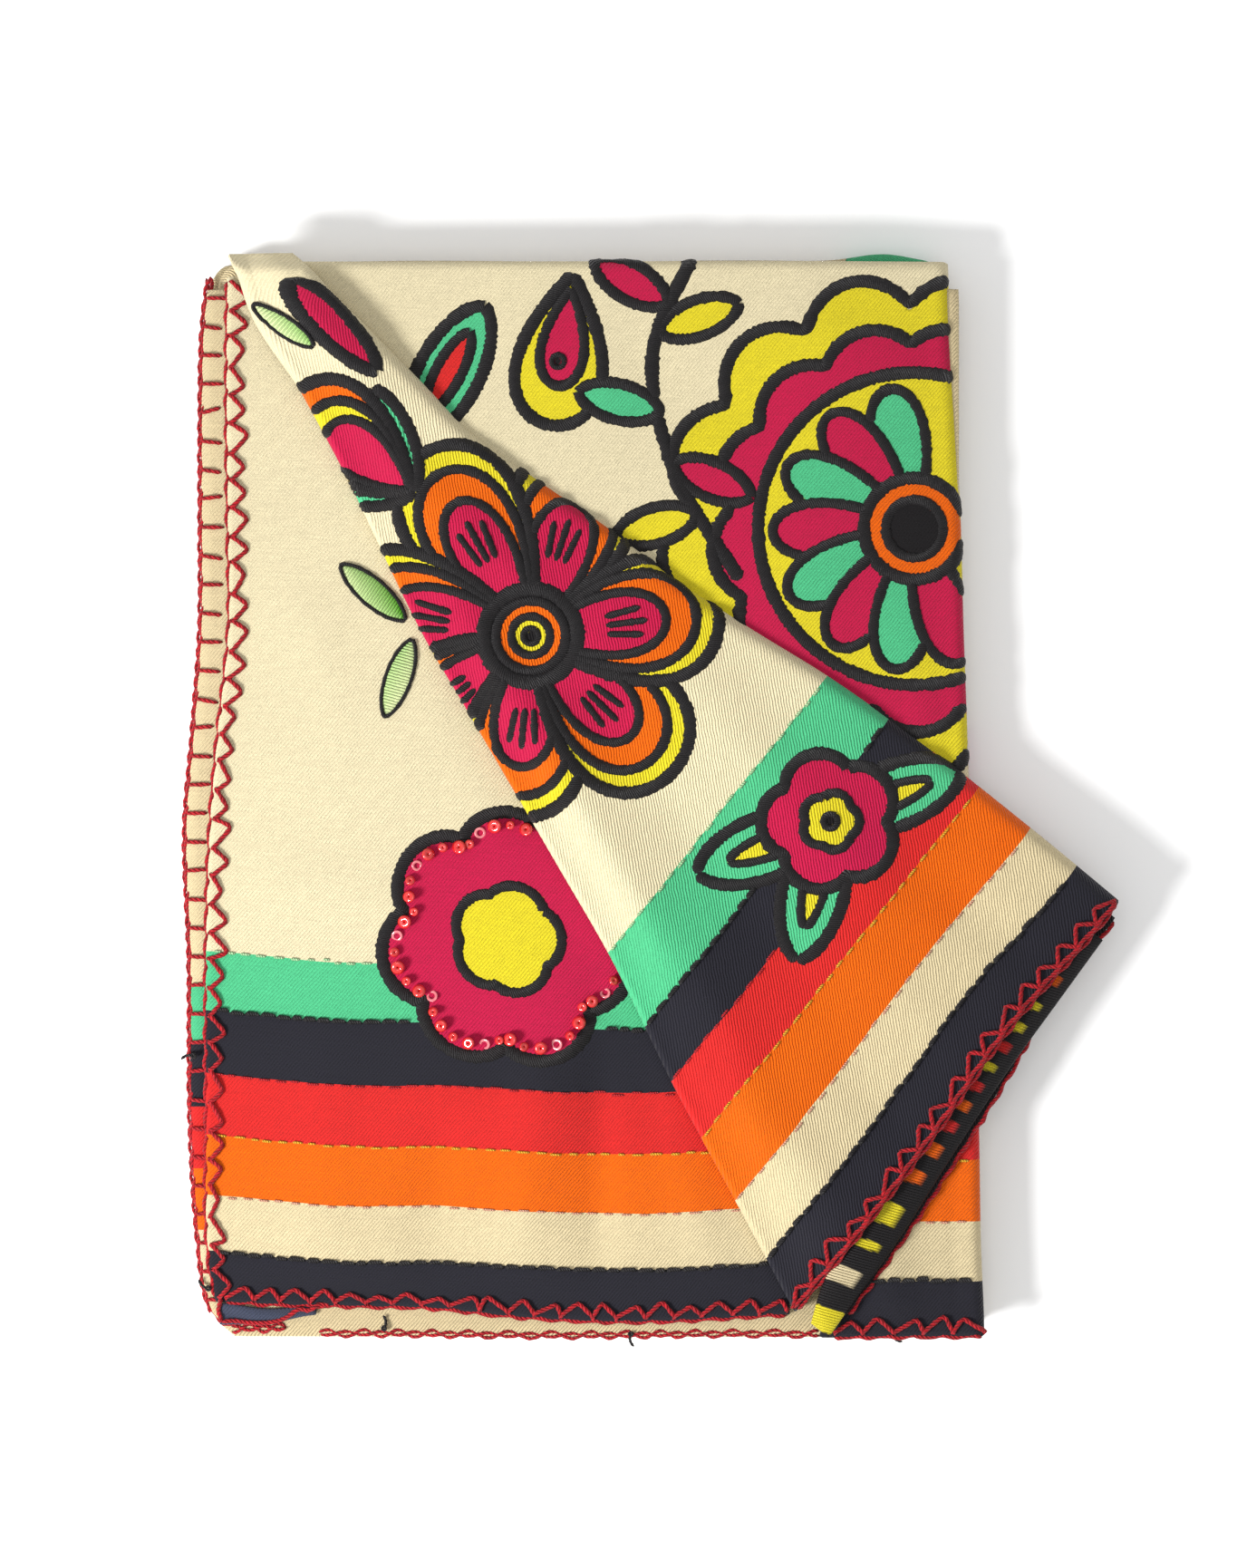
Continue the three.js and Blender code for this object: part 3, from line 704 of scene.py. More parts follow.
def turned(points, centre, degrees):
    """Turns a shape about the origin and moves it to its centre."""
    a = math.radians(degrees)
    spin = np.array([[math.cos(a), math.sin(a)], [-math.sin(a), math.cos(a)]])
    return np.asarray(points) @ spin + np.asarray(centre, float)


def drop(centre, degrees, length, width):
    """A petal: pointed where it starts, round at its far end."""
    t = np.linspace(0, 2 * math.pi, 72, endpoint=False)
    x = length * (1 - np.cos(t)) / 2
    y = 0.65 * width * np.sin(t) * np.sin(t / 2)
    return turned(np.stack([x, y], axis=1), centre, degrees)


def disc(centre, radius):
    t = np.linspace(0, 2 * math.pi, 56, endpoint=False)
    return turned(np.stack([radius * np.cos(t), radius * np.sin(t)], axis=1), centre, 0)


def rosette(centre, radius, lobes, depth, degrees=0):
    """A disc with a scalloped rim."""
    t = np.linspace(0, 2 * math.pi, 30 * lobes, endpoint=False)
    r = radius * (1 - depth + depth * np.abs(np.sin(lobes * t / 2)) ** 0.7)
    return turned(np.stack([r * np.cos(t), r * np.sin(t)], axis=1), centre, degrees)


def leaf(centre, degrees, length, width):
    t = np.linspace(0, 2 * math.pi, 48, endpoint=False)
    y = width / 2 * np.sin(t) * np.abs(np.sin(t)) ** 0.25
    return turned(np.stack([length / 2 * np.cos(t), y], axis=1), centre, degrees)


def heading(degrees):
    return np.array([math.cos(math.radians(degrees)), math.sin(math.radians(degrees))])


def leaf_at(foot, degrees, length, width):
    """A leaf that starts at its foot."""
    return leaf(np.asarray(foot) + heading(degrees) * length / 2, degrees, length, width)


def smooth_path(points, count=90):
    """A smooth curve through a few points."""
    points = np.asarray(points, float)
    station = np.concatenate([[0], np.cumsum(np.hypot(*np.diff(points, axis=0).T))])
    route = {"s": station, "x": points[:, 0], "y": points[:, 1]}
    s = np.linspace(0, station[-1], count)
    return np.stack([along(route, s, "x"), along(route, s, "y")], axis=1)


def inside(points, outline):
    """Says which points lie inside a closed outline."""
    x, y = points[:, 0], points[:, 1]
    result = np.zeros(len(points), bool)
    x0, y0 = outline[-1]
    for x1, y1 in outline:
        if y0 != y1:
            crosses = (y0 > y) != (y1 > y)
            result ^= crosses & (x < (x1 - x0) * (y - y0) / (y1 - y0) + x0)
        x0, y0 = x1, y1
    return result


class Motifs:
    """The fills and the stitched lines of one stretch, in the order in which they are laid."""

    def __init__(self):
        self.fills = []
        self.lines = []

    def shape(self, outline, colour, line=3.2):
        """Fills a shape, clears older lines under it, and stitches round it."""
        self.clear(outline)
        self.fills.append((outline, colour))
        self.lines.append((np.concatenate([outline, outline[:1]]), line))

    def nested(self, maker, centre, degrees, rows):
        """Shapes in each other. A row holds a length, a width, a colour and a line."""
        for length, width, colour, line in rows:
            self.shape(maker(centre, degrees, length, width), colour, line)

    def discs(self, centre, rows):
        """Discs in each other. A row holds a radius, a colour and a line."""
        for radius, colour, line in rows:
            self.shape(disc(centre, radius), colour, line)

    def clear(self, outline):
        """Older lines don't run under a new shape."""
        kept = []
        for path, width in self.lines:
            dense = resample(path, 0.8)
            kept += [(run, width) for run in runs(dense, ~inside(dense, outline))]
        self.lines = kept

    def line(self, points, width=2.6, count=60):
        self.lines.append((smooth_path(points, count), width))

    def colour(self, places):
        """Colour of the print on each place. The last value is 1 where there is print."""
        result = np.zeros((len(places), 4))
        for outline, colour in self.fills:
            mask = inside(places[:, :2], outline)
            result[mask] = (*colour[:3], 1.0)
        return result


def resample(path, step):
    """Evenly spaced points along a path."""
    path = np.asarray(path, float)
    gaps = np.linalg.norm(np.diff(path, axis=0), axis=1)
    station = np.concatenate([[0], np.cumsum(gaps)])
    count = max(int(round(station[-1] / step)), 2)
    s = np.linspace(0, station[-1], count + 1)
    return np.stack([np.interp(s, station, path[:, k]) for k in range(path.shape[1])], axis=1)


def runs(path, keep):
    """Splits a path into the pieces of it that are kept."""
    edges = np.flatnonzero(np.diff(np.concatenate([[0], keep.astype(int), [0]])))
    return [path[a:b] for a, b in zip(edges[::2], edges[1::2]) if b - a > 2]


# %% [markdown]
# The flap carries the main flower. It has seven double petals round a ringed eye: magenta hearts
# in orange and yellow, all outlined in black. A small blossom with three leaves lies over the
# border stripes, and a bud with two green leaves and a slender magenta leaf follow towards the
# back. The shapes are laid from the lowest to the highest, and a new one clears the lines under
# it, as a patch sewn on top would cover them. The flower and the bud are large enough to run over the flap's
# fold and ridge.

# %% Print of the flap
flap_print = Motifs()
FLOWER = (101.0, 172.0)
SPRIG = (112.0, 76.0)
BUD = (112.0, 222.0)
BACK_LEAF = (137.0, 288.0)
PETALS = [
    (20, 54, 34), (68, 58, 33), (118, 56, 34), (166, 52, 32), (214, 50, 33), (264, 54, 35),
    (316, 52, 34),
]


def flower_petal(degrees, length, width):
    """One double petal with short stitched rays in its heart."""
    flap_print.nested(drop, FLOWER, degrees, [
        (length, width, YELLOW, 3.2), (length * 0.88, width * 0.76, ORANGE, 2.6),
        (length * 0.72, width * 0.5, MAGENTA, 2.4),
    ])
    way = heading(degrees)
    side = np.array([-way[1], way[0]]) * width
    for share in (-1, 0, 1):
        start = np.asarray(FLOWER) + way * length * 0.4 + side * share * 0.07
        end = np.asarray(FLOWER) + way * length * (0.62 - 0.03 * abs(share)) + side * share * 0.11
        flap_print.line([start, (start + end) / 2, end], 1.7, 14)


def build_flap_print():
    for degrees in (150, 205, 330):
        flap_print.nested(leaf_at, SPRIG, degrees, [(39, 17, GREEN, 3.2), (30, 6.5, YELLOW, 2.2)])
    flap_print.shape(rosette(SPRIG, 19, 5, 0.2, 20), MAGENTA)
    flap_print.shape(rosette(SPRIG, 8, 5, 0.18, 56), YELLOW, 2.4)
    flap_print.shape(disc(SPRIG, 2), BLACK, 1.6)
    for degrees, length, width in PETALS:
        flower_petal(degrees, length, width)
    flap_print.discs(FLOWER, [(13, BLACK, 3.6), (9.6, ORANGE, 2.4), (5.4, YELLOW, 2.2), (2.2, BLACK, 1.6)])
    for degrees in (60, 122):
        flap_print.shape(leaf_at(BUD, degrees, 30, 11), GREEN, 3.0)
    flap_print.nested(drop, BUD, 91, [(42, 27, ORANGE, 3.2), (35, 20, YELLOW, 2.6), (29, 14, MAGENTA, 2.4)])
    flap_print.shape(leaf_at(BACK_LEAF, 262, 38, 9), MAGENTA)


build_flap_print()
print("flap:", len(flap_print.fills), "fills and", len(flap_print.lines), "stitched lines")

# %% [markdown]
# The right panel shows the edge of a large sun flower that goes over the fold, with a scalloped
# magenta collar round a yellow disc. Beside it a leafy vine climbs over the cream ground, with a
# few drops and leaves. The left panel has a magenta rosette beside the flap, whose rim is set with
# beads. The same few formulas serve again, so that all motifs look like one hand's work.

# %% Prints of the right and left panels
right_print = Motifs()
left_print = Motifs()
SUN = (72.0, 222.0)
SIDE_ROSE = (84.0, 128.0)
VINE = [(12, 299), (0, 270), (6, 238), (24, 208)]
VINE_LEAVES = [
    ((4, 284), 150, MAGENTA), ((2, 276), 20, YELLOW), ((2, 254), 166, GREEN), ((6, 240), 336, MAGENTA),
    ((12, 226), 196, YELLOW),
]


def build_right_print():
    right_print.shape(rosette(SUN, 70, 13, 0.13, 8), YELLOW)
    right_print.shape(rosette(SUN, 56, 13, 0.10, 8), MAGENTA)
    right_print.shape(disc(SUN, 43), YELLOW)
    for degrees in range(100, 290, 27):
        right_print.shape(drop(SUN, degrees, 39, 15), MAGENTA if degrees % 2 else GREEN, 2.6)
    right_print.discs(SUN, [(14, ORANGE, 3.2), (8, BLACK, 2.4)])
    right_print.shape(leaf_at((-66, 246), 62, 42, 17), GREEN)
    right_print.shape(leaf_at((-62, 254), 62, 25, 7), RED, 2.6)
    right_print.shape(drop((-22, 292), 262, 42, 24), YELLOW)
    right_print.shape(drop((-22.4, 288), 262, 27, 12), MAGENTA, 2.6)
    right_print.shape(disc((-26, 268), 1.8), BLACK, 1.4)
    right_print.shape(drop((2, 208), 236, 34, 19), GREEN)
    right_print.shape(drop((0, 204.6), 236, 21, 8), RED, 2.4)
    right_print.line(VINE, 3.4, 90)
    for foot, degrees, colour in VINE_LEAVES:
        right_print.shape(leaf_at(foot, degrees, 23, 10), colour, 2.8)
    right_print.shape(rosette(SIDE_ROSE, 22, 8, 0.16), MAGENTA)
    right_print.shape(disc(SIDE_ROSE, 10), YELLOW, 2.6)


ROSETTE = (-40.0, 104.0)
ROSETTE_RADIUS = 35.0
ROSETTE_LOBES = 7
ROSETTE_DEPTH = 0.17
ROSETTE_TURN = 12


def build_left_print():
    left_print.shape(rosette(ROSETTE, ROSETTE_RADIUS, ROSETTE_LOBES, ROSETTE_DEPTH, ROSETTE_TURN), MAGENTA)
    left_print.shape(rosette(ROSETTE, 15, 5, 0.14, 40), YELLOW, 2.6)


build_right_print()
build_left_print()
print("right:", len(right_print.fills), "fills; left:", len(left_print.fills), "fills")

# %% [markdown]
# Now the printed stretches and the reverse can be laid. Each is a grid of places on the flat
# cloth, one to two millimetres apart where there is print and about three on the reverse. It is
# carried over by its stretch, closed to a thin shell with a round rim, and coloured point by
# point. A plane with a Solidify modifier would do the same, but the shell made here also knows
# its flat place on every point.

# %% Lay the printed stretches


def lay_cloth(name, stretch, motifs, material, rows, columns, node):
    grid_u, grid_v = lay_grid(stretch, rows, columns)
    points, faces, flat = shell(grid_u, grid_v, stretch)
    colour = motifs.colour(flat) if motifs else np.zeros((len(flat), 4))
    piece = add_mesh(name, points, faces, material, {"flat": flat, "print": colour})
    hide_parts(node)
    print(name, "has", len(points), "points")
    return piece


flap_cloth = lay_cloth("flap_cloth", flap, flap_print, twill_flap, 270, 110, "flap")
left_cloth = lay_cloth("left_cloth", left, left_print, twill_left, 190, 120, "left_panel")
right_cloth = lay_cloth("right_cloth", right, right_print, twill_right, 240, 110, "right_panel")
back_cloth = lay_cloth("back_cloth", back, None, twill_back, 90, 70, "back_half")

# %% [markdown]
# A stitched outline is a low rounded cord of satin stitch that stands on the cloth. A bevelled
# curve would give a round tube, which looks like piping. So the line is swept as a strip with a
# domed section. Its width changes a little from stitch to stitch, which gives the ragged edge of
# real thread. Where a path leaves its stretch, the line is cut off.

# %% Stitched lines
DOME = table("t h", [(-1, 0.0), (-0.72, 0.62), (0, 1.0), (0.72, 0.62), (1, 0.0)])
STITCH_HEIGHT = 0.6
STITCH_STEP = 0.72


def line_ends(run):
    """Share of the full width at each step of a line: it tapers at its ends, unless it is closed."""
    step = np.arange(len(run))
    if np.hypot(*(run[0] - run[-1])) < STITCH_STEP:
        return np.ones(len(run))
    return np.sqrt(rise(np.minimum(step, step[::-1]) + 0.6, 0, 2.5))


def stitched_lines(name, stretch, lines):
    """Joins all lines of a stretch into one mesh of domed strips."""
    points, faces, marks = [], [], []
    total = 0.0
    for path, width in lines:
        dense = resample(path, STITCH_STEP)
        low, high = stretch.limits(dense[:, 1])
        keep = (dense[:, 0] > low) & (dense[:, 0] < high)
        keep &= (dense[:, 1] > 0.4) & (dense[:, 1] < stretch.length - 0.4)
        for run in runs(dense, keep):
            way = unit(np.gradient(run, axis=0))
            side = np.stack([-way[:, 1], way[:, 0]], axis=1)
            count = len(run)
            ends = line_ends(run)
            ragged = 1 + 0.05 * (-1.0) ** np.arange(count) + rng.normal(0, 0.07, count)
            half = 1.12 * width / 2 * ends * ragged
            t = DOME["t"]
            u = run[:, None, 0] + side[:, None, 0] * half[:, None] * t
            v = run[:, None, 1] + side[:, None, 1] * half[:, None] * t
            uneven = 1 + rng.normal(0, 0.07, (count, 1))
            tall = SKIN + 0.02 + STITCH_HEIGHT * ends[:, None] * DOME["h"] * uneven
            laid = stretch.on(u, v, tall)
            s = total + STITCH_STEP * np.arange(count)[:, None] + 0 * u
            tone = np.repeat(rng.uniform(0, 0.6, (count, 1)), len(t), axis=1)
            faces += quads(count, len(t), sum(len(p) for p in points))
            points.append(laid.reshape(-1, 3))
            marks.append(np.stack([s, t * width / 2 + 0 * u, tone], axis=-1).reshape(-1, 3))
            total += STITCH_STEP * count
    values = {"stitch": np.concatenate(marks)}
    add_mesh(name, np.concatenate(points), faces, black_thread, values)
    print(name, "is", round(total / 1000, 2), "m long")


stitched_lines("flap_outlines", flap, flap_print.lines)
stitched_lines("right_outlines", right, right_print.lines)
stitched_lines("left_outlines", left, left_print.lines)

# %% [markdown]
# Yarn and round threads are tubes swept along a route. Two strands could be wound round each
# other, at twice the faces. Instead the section is a circle with two lobes that turn as it goes
# on, so the yarn looks like the two strands that it is twisted from. A whole edge is one joined
# mesh.

# %% Tubes of yarn
PLIES = 2
NEARLY_UP = np.array([0.13, 0.07, 1.0])


def tubes(name, routes, radius, material, sides=8, turn=2.6):
    """Joins tubes along routes in millimetres. turn is the length of one twist."""
    points, faces, marks = [], [], []
    first = 0
    for route in routes:
        way = unit(np.gradient(route, axis=0))
        side = unit(np.cross(way, NEARLY_UP))
        other = np.cross(side, way)
        s = np.concatenate([[0], np.cumsum(np.linalg.norm(np.diff(route, axis=0), axis=1))])
        count = len(route)
        angle = np.linspace(0, 2 * math.pi, sides, endpoint=False)
        twist = 2 * math.pi * s[:, None] / turn
        size = radius * (1 + 0.16 * np.cos(PLIES * (angle - twist)))
        size[[0, -1]] *= 0.35
        ring = route[:, None] + size[..., None] * (
            np.cos(angle)[None, :, None] * side[:, None] + np.sin(angle)[None, :, None] * other[:, None])
        faces += tube_faces(count, sides, first)
        points.append(ring.reshape(-1, 3))
        tone = np.repeat(rng.uniform(0, 0.7, (count, 1)), sides, axis=1)
        mark = np.stack([s[:, None] + 0 * size, radius * angle + 0 * size, tone], axis=-1)
        marks.append(mark.reshape(-1, 3))
        first += count * sides
    return add_mesh(name, np.concatenate(points), faces, material, {"stitch": np.concatenate(marks)})


# %% [markdown]
# The edge stitch is a blanket stitch in red yarn, which keeps the cloth from fraying. On the face
# its legs lean together into a row of small tents, and on the reverse they are straight ticks. A
# second thread runs along the very edge and ties them. An array of one stitch would look machine-
# made, so pitch, depth and lean vary a little from one stitch to the next.

# %% Edge stitches
STITCH_PITCH = 7.9
SIDE_DEPTH = 4.3
HEM_DEPTH = 4.2
TICK_DEPTH = 5.2
YARN_RADIUS = 0.62
RIGHT_WAY = np.array([1.0, 0.0])
UP_WAY = np.array([0.0, 1.0])


def edge_route(stretch, corner_path, above):
    """A route over a stretch through places that are given as u, v and height."""
    dense = resample(corner_path, 0.9)
    return stretch.on(dense[:, 0], dense[:, 1], above + dense[:, 2])


def tent_stitches(stretch, edge, inwards, mean_depth):
    """Zigzag over the face, from the edge to an apex and back, along an edge path."""
    spots = resample(edge, STITCH_PITCH)
    spots[1:-1] += (spots[2:] - spots[:-2]) * rng.normal(0, 0.028, (len(spots) - 2, 1))
    heights = []
    for k in range(len(spots) - 1):
        here, following = spots[k:k + 2]
        lean = 0.5 + rng.normal(0, 0.13)
        depth = mean_depth * (1 + rng.normal(0, 0.13))
        apex = here + (following - here) * lean + inwards * depth
        apex_side = (following - here) * 0.11
        heights += [(*here, -0.2), (*(here + inwards * 0.8), 0.25)]
        heights += [(*(apex - apex_side - inwards * 0.5), 0.2), (*apex, -0.15)]
        heights += [(*(apex + apex_side - inwards * 0.5), 0.2), (*(following + inwards * 0.8), 0.25)]
    heights.append((*spots[-1], -0.2))
    return edge_route(stretch, np.array(heights), SKIN + YARN_RADIUS * 0.6)


def edge_thread(stretch, edge, outwards, above=0.0):
    """The thread that runs along the very edge, dipping at each stitch."""
    dense = resample(edge, 1.0)
    s = np.arange(len(dense))
    out = 0.55 + 0.3 * np.sin(2 * math.pi * s / STITCH_PITCH) + rng.normal(0, 0.05, len(dense))
    spots = dense + np.asarray(outwards) * out[:, None]
    wave = 0.2 * np.cos(2 * math.pi * s / STITCH_PITCH)
    return stretch.on(spots[:, 0], spots[:, 1], above + wave)


def tick_stitches(stretch, edge):
    """Straight ticks on the reverse."""
    routes = []
    for spot in resample(edge, STITCH_PITCH):
        lean = UP_WAY * rng.normal(0, 0.5)
        end = spot + RIGHT_WAY * TICK_DEPTH * (1 + rng.normal(0, 0.08)) + lean
        path = [(*(spot - RIGHT_WAY * 0.6), -0.7), (*spot, 0.1), (*((spot + end) / 2), 0.25), (*end, -0.25)]
        routes.append(edge_route(stretch, np.array(path), SKIN + YARN_RADIUS * 0.5))
    return routes


def side_path(stretch, v0, v1, inset=0.3):
    v = np.linspace(v0, v1, 80)
    low, _ = stretch.limits(v)
    return np.stack([low + inset, v], axis=1)


def line_path(u0, u1, v=0.2):
    return np.array([(u0, v), ((u0 + u1) / 2, v), (u1, v)])


left_side = side_path(left, 281, 1)
left_hem = line_path(-117.5, 37)
flap_hem = line_path(1.5, 143)
right_hem = line_path(50, 91)
back_side = side_path(back, 286, 3)
face_routes = [
    tent_stitches(left, left_side, RIGHT_WAY, SIDE_DEPTH),
    tent_stitches(left, left_hem, UP_WAY, HEM_DEPTH),
    tent_stitches(flap, flap_hem, UP_WAY, HEM_DEPTH),
    tent_stitches(right, right_hem, UP_WAY, HEM_DEPTH),
]
edge_routes = [
    edge_thread(left, left_side, -RIGHT_WAY),
    edge_thread(left, left_hem, -UP_WAY),
    edge_thread(flap, flap_hem, -UP_WAY),
    edge_thread(flap, flap_hem, 0.6 * UP_WAY, 1.1),
    edge_thread(right, right_hem, -UP_WAY),
]
tubes("face_edge_stitch", face_routes + edge_routes, YARN_RADIUS, yarn_finish)
reverse_routes = tick_stitches(back, back_side) + [edge_thread(back, back_side, -RIGHT_WAY)]
tubes("reverse_edge_stitch", reverse_routes, YARN_RADIUS * 0.9, yarn_finish)
print("edge stitches along", len(face_routes), "face edges")

# %% [markdown]
# The border stripes are set off by rows of small running stitches: black whip stitches where a
# navy stripe ends, and pale green, gold, pink and red thread on the others. Each stitch is a short
# tube whose ends sink into the cloth, so that light catches it as it does on the real thread. A
# drawn dash would stay flat.

# %% Running stitches
ROW_INSET = 1.8


def running_stitches(name, stretch, motifs, rows, u_limits, length, space, radius, material, bulge):
    """Short threads in a row along the stripes. They leave out the places where a motif lies."""
    routes = []
    for v in rows:
        low, high = stretch.limits(np.array([float(v)]))
        u = max(float(low[0]), u_limits[0]) + ROW_INSET
        end = min(float(high[0]), u_limits[1]) - ROW_INSET
        while u < end - length:
            size = length * (1 + rng.normal(0, 0.12))
            line = v + rng.normal(0, 0.18)
            sunk = [(u, line, -0.5), (u + size, line, -0.5)]
            seen = [(u + size * share, line + bulge, 0.05) for share in (0.2, 0.8)]
            path = [sunk[0], *seen, sunk[1]]
            middle = np.array([(u - 1, line), (u + size / 2, line), (u + size + 1, line)])
            if not motifs.colour(middle)[:, 3].any():
                routes.append(edge_route(stretch, np.array(path), SKIN + radius * 0.7))
            u += size + space * (1 + rng.normal(0, 0.2))
    return tubes(name, routes, radius, material, sides=6, turn=1.6)


STRETCH_BORDERS = [
    ("left", left, left_print, BORDER_LEFT, (-130, 37)),
    ("flap", flap, flap_print, BORDER_FLAP, (0, 143)),
    ("right", right, right_print, BORDER_RIGHT, (58, 92)),
]
ROWS = [
    ("whip", (0, 4), 3.9, 0.3, 0.62, black_thread, 0.35), ("red", (3,), 3.4, 1.2, 0.3, red_thread, 0.1),
    ("pink", (1,), 3.2, 1.6, 0.28, pink_thread, 0.1), ("gold", (2,), 3.2, 1.4, 0.34, gold_thread, 0.1),
    ("green", (5,), 3.0, 1.4, 0.34, green_thread, 0.1),
]
for label, stretch, motifs, edges, reach in STRETCH_BORDERS:
    for thread_name, places, length, space, radius, material, bulge in ROWS:
        if label != "right" or thread_name in ("whip", "pink", "gold"):
            rows = [edges[k] for k in places]
            name = label + "_" + thread_name + "_stitches"
            running_stitches(name, stretch, motifs, rows, reach, length, space, radius, material, bulge)
print("running stitches laid on", len(STRETCH_BORDERS), "stretches")

# %% [markdown]
# The layer that comes back under the flap shows its dark reverse as a narrow strip, and on it lies
# a rolled stretch with bars of satin stitch. They could be left to the flap's shadow, but they
# show along the whole hem. Both are short strips, laid across the gap between the two hems.

# %% Layers under the flap's hem
RETURN_START = 8.6
RETURN_END = 139.6
RETURN_DEPTH = 40
RETURN_INSET = 20
BORDER_RETURN = [13, 28, 44, 60, 76, 92]


def lay_return():
    """The strip from the return's hem to a line under the flap. Its hidden corner is cut away."""
    material = twill("twill_return", BORDER_RETURN, CREAM_REVERSE, 0.05, BLACK)
    across = np.linspace(RETURN_START, RETURN_END, 120)
    share = np.linspace(0, 1, 24)[:, None]
    hem = along(RETURN_HEM, across, "hem") + SKIN
    grid_v = hem + (RETURN_DEPTH - hem) * share
    hidden_edge = along(FLAP_SECTIONS, np.maximum(grid_v, 0), "fold") + RETURN_INSET
    grid_u = np.maximum(across, RETURN_START + (hidden_edge - RETURN_START) * rise(grid_v, -9, 0))
    points, faces, flat = shell(grid_u, grid_v, returned)
    values = {"flat": flat + np.array([0, 8, 0]), "print": np.zeros((len(flat), 4))}
    piece = add_mesh("return_cloth", points, faces, material, values)
    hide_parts("flap_return")
    return piece


return_cloth = lay_return()
hem_u = np.linspace(9, 139, 90)
return_edge = np.stack([hem_u, along(RETURN_HEM, hem_u, "hem") + 0.4], axis=1)
return_routes = [edge_thread(returned, return_edge, -UP_WAY)]
tubes("return_edge_stitch", return_routes, YARN_RADIUS, yarn_finish)

ROLLED_STRETCH = table("u outer inner", [
    (0.5, -11.6, -5.4), (11, -11, -1.2), (25, -10.6, 1), (40, -9.6, 4), (65, -7, 6), (88, -5, 8),
    (112, -4, 8), (134, -3.2, 6),
])
ROLL_START = 0.8
ROLL_END = 133
ROLL_HEIGHT = 1.45
STITCHED_HEIGHT = 1.9
BARS = [
    (7, YELLOW), (8, None), (5, CREAM_STRIPE), (7, None), (2.4, YELLOW), (6, None), (6.5, YELLOW),
    (7.5, None), (4, ORANGE), (5, None), (4, ORANGE), (4.5, None), (3, RED), (4, None), (3, ORANGE),
    (3.5, None), (3, RED), (4, None), (2.5, YELLOW), (4, None), (3, RED), (4, None), (2.5, YELLOW),
    (5, None), (2.5, YELLOW), (6, None), (3, ORANGE), (9, None),
]


def bar_colours(s, share):
    """Colours of the rolled stretch: s runs along it and share runs across, from the flap outwards."""
    colour = np.full((*s.shape, 4), BLACK)
    start = 0.0
    for length, shade in BARS:
        if shade:
            lit = (s > start) & (s < start + length) & (share < (1.1 if start == 0 else 0.74))
            if shade is ORANGE:
                lit &= share > 0.3
            colour[lit] = shade
        start += length
    return colour


def satin_roll():
    """Black satin stitch and cloth, in the colours that are stored on the points, with painted shade in the
    grooves between threads.
    """
    paint = Paint("satin_roll", Specular_IOR_Level=0.25)
    flat = paint.attribute("flat")
    u, v, _ = paint.split(flat)
    groove = ((u + v * 0.35) * (2 * math.pi / 0.8)).sine()
    fluff = paint.noise(flat, 2.5, 3.0) - 0.5
    # groove puts painted shade between the threads; fluff varies the tone at random.
    colour = paint.shaded(paint.attribute("print", "Color"), 0.95 + groove * 0.14 + fluff * 0.4)
    return paint.finish(colour, 0.62 - fluff * 0.1, groove * 0.6 + fluff, 0.3)


def lay_rolled():
    """A soft roll with bars across it. The black ones are stitched, so they stand out a little."""
    count = 300
    u = np.linspace(ROLL_START, ROLL_END, count)[:, None]
    outer = along(ROLLED_STRETCH, u, "outer")
    inner = along(ROLLED_STRETCH, u, "inner")
    angle = np.linspace(0, 2 * math.pi, 20, endpoint=False)
    v = (outer + inner) / 2 + (inner - outer) / 2 * np.cos(angle)
    x, y = from_foot(u, v)
    step = np.arange(count)
    ends = np.sqrt(np.clip(np.minimum(step, step[::-1]) / 8, 0.05, 1))[:, None]
    share = (1 - np.cos(angle)) / 2 + 0 * v
    colour = bar_colours(u - ROLL_START + v * 0.35 + 3, share)
    stitched = np.all(colour == np.array(BLACK), axis=-1)
    half_height = ends * np.where(stitched, STITCHED_HEIGHT, ROLL_HEIGHT)
    z = return_height(x) + SKIN + GAP + 1.5 + np.sin(angle) * half_height
    points = np.stack([x, y, z], axis=-1).reshape(-1, 3)
    faces = tube_faces(count, len(angle))
    flat = np.stack([u + 0 * v, v * 1.2, 0 * v], axis=-1).reshape(-1, 3)
    values = {"flat": flat, "print": colour.reshape(-1, 4)}
    piece = add_mesh("rolled_cloth", points, faces, satin_roll(), values)
    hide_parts("rolled_stretch")
    return piece


rolled_cloth = lay_rolled()
print("strip under the flap:", round(float(hem_u[-1] - hem_u[0])), "mm long")

# %% [markdown]
# Beads and sequins follow the scalloped rim of the rosette on the left panel. A seed bead is a
# small glass ring, made by turning a round section about its hole, and a sequin is a flatter ring
# with a wide hole. Instances would keep them apart as hundreds of objects, so they are joined in
# one mesh each, every one tilted a little in its own way.

# %% Beads and sequins
SEED = {"radius": 1.8, "hole": 0.03, "height": 1.25, "smaller": 0.74}
SEQUIN = {"radius": 1.5, "hole": 0.5, "height": 0.6, "smaller": 1}


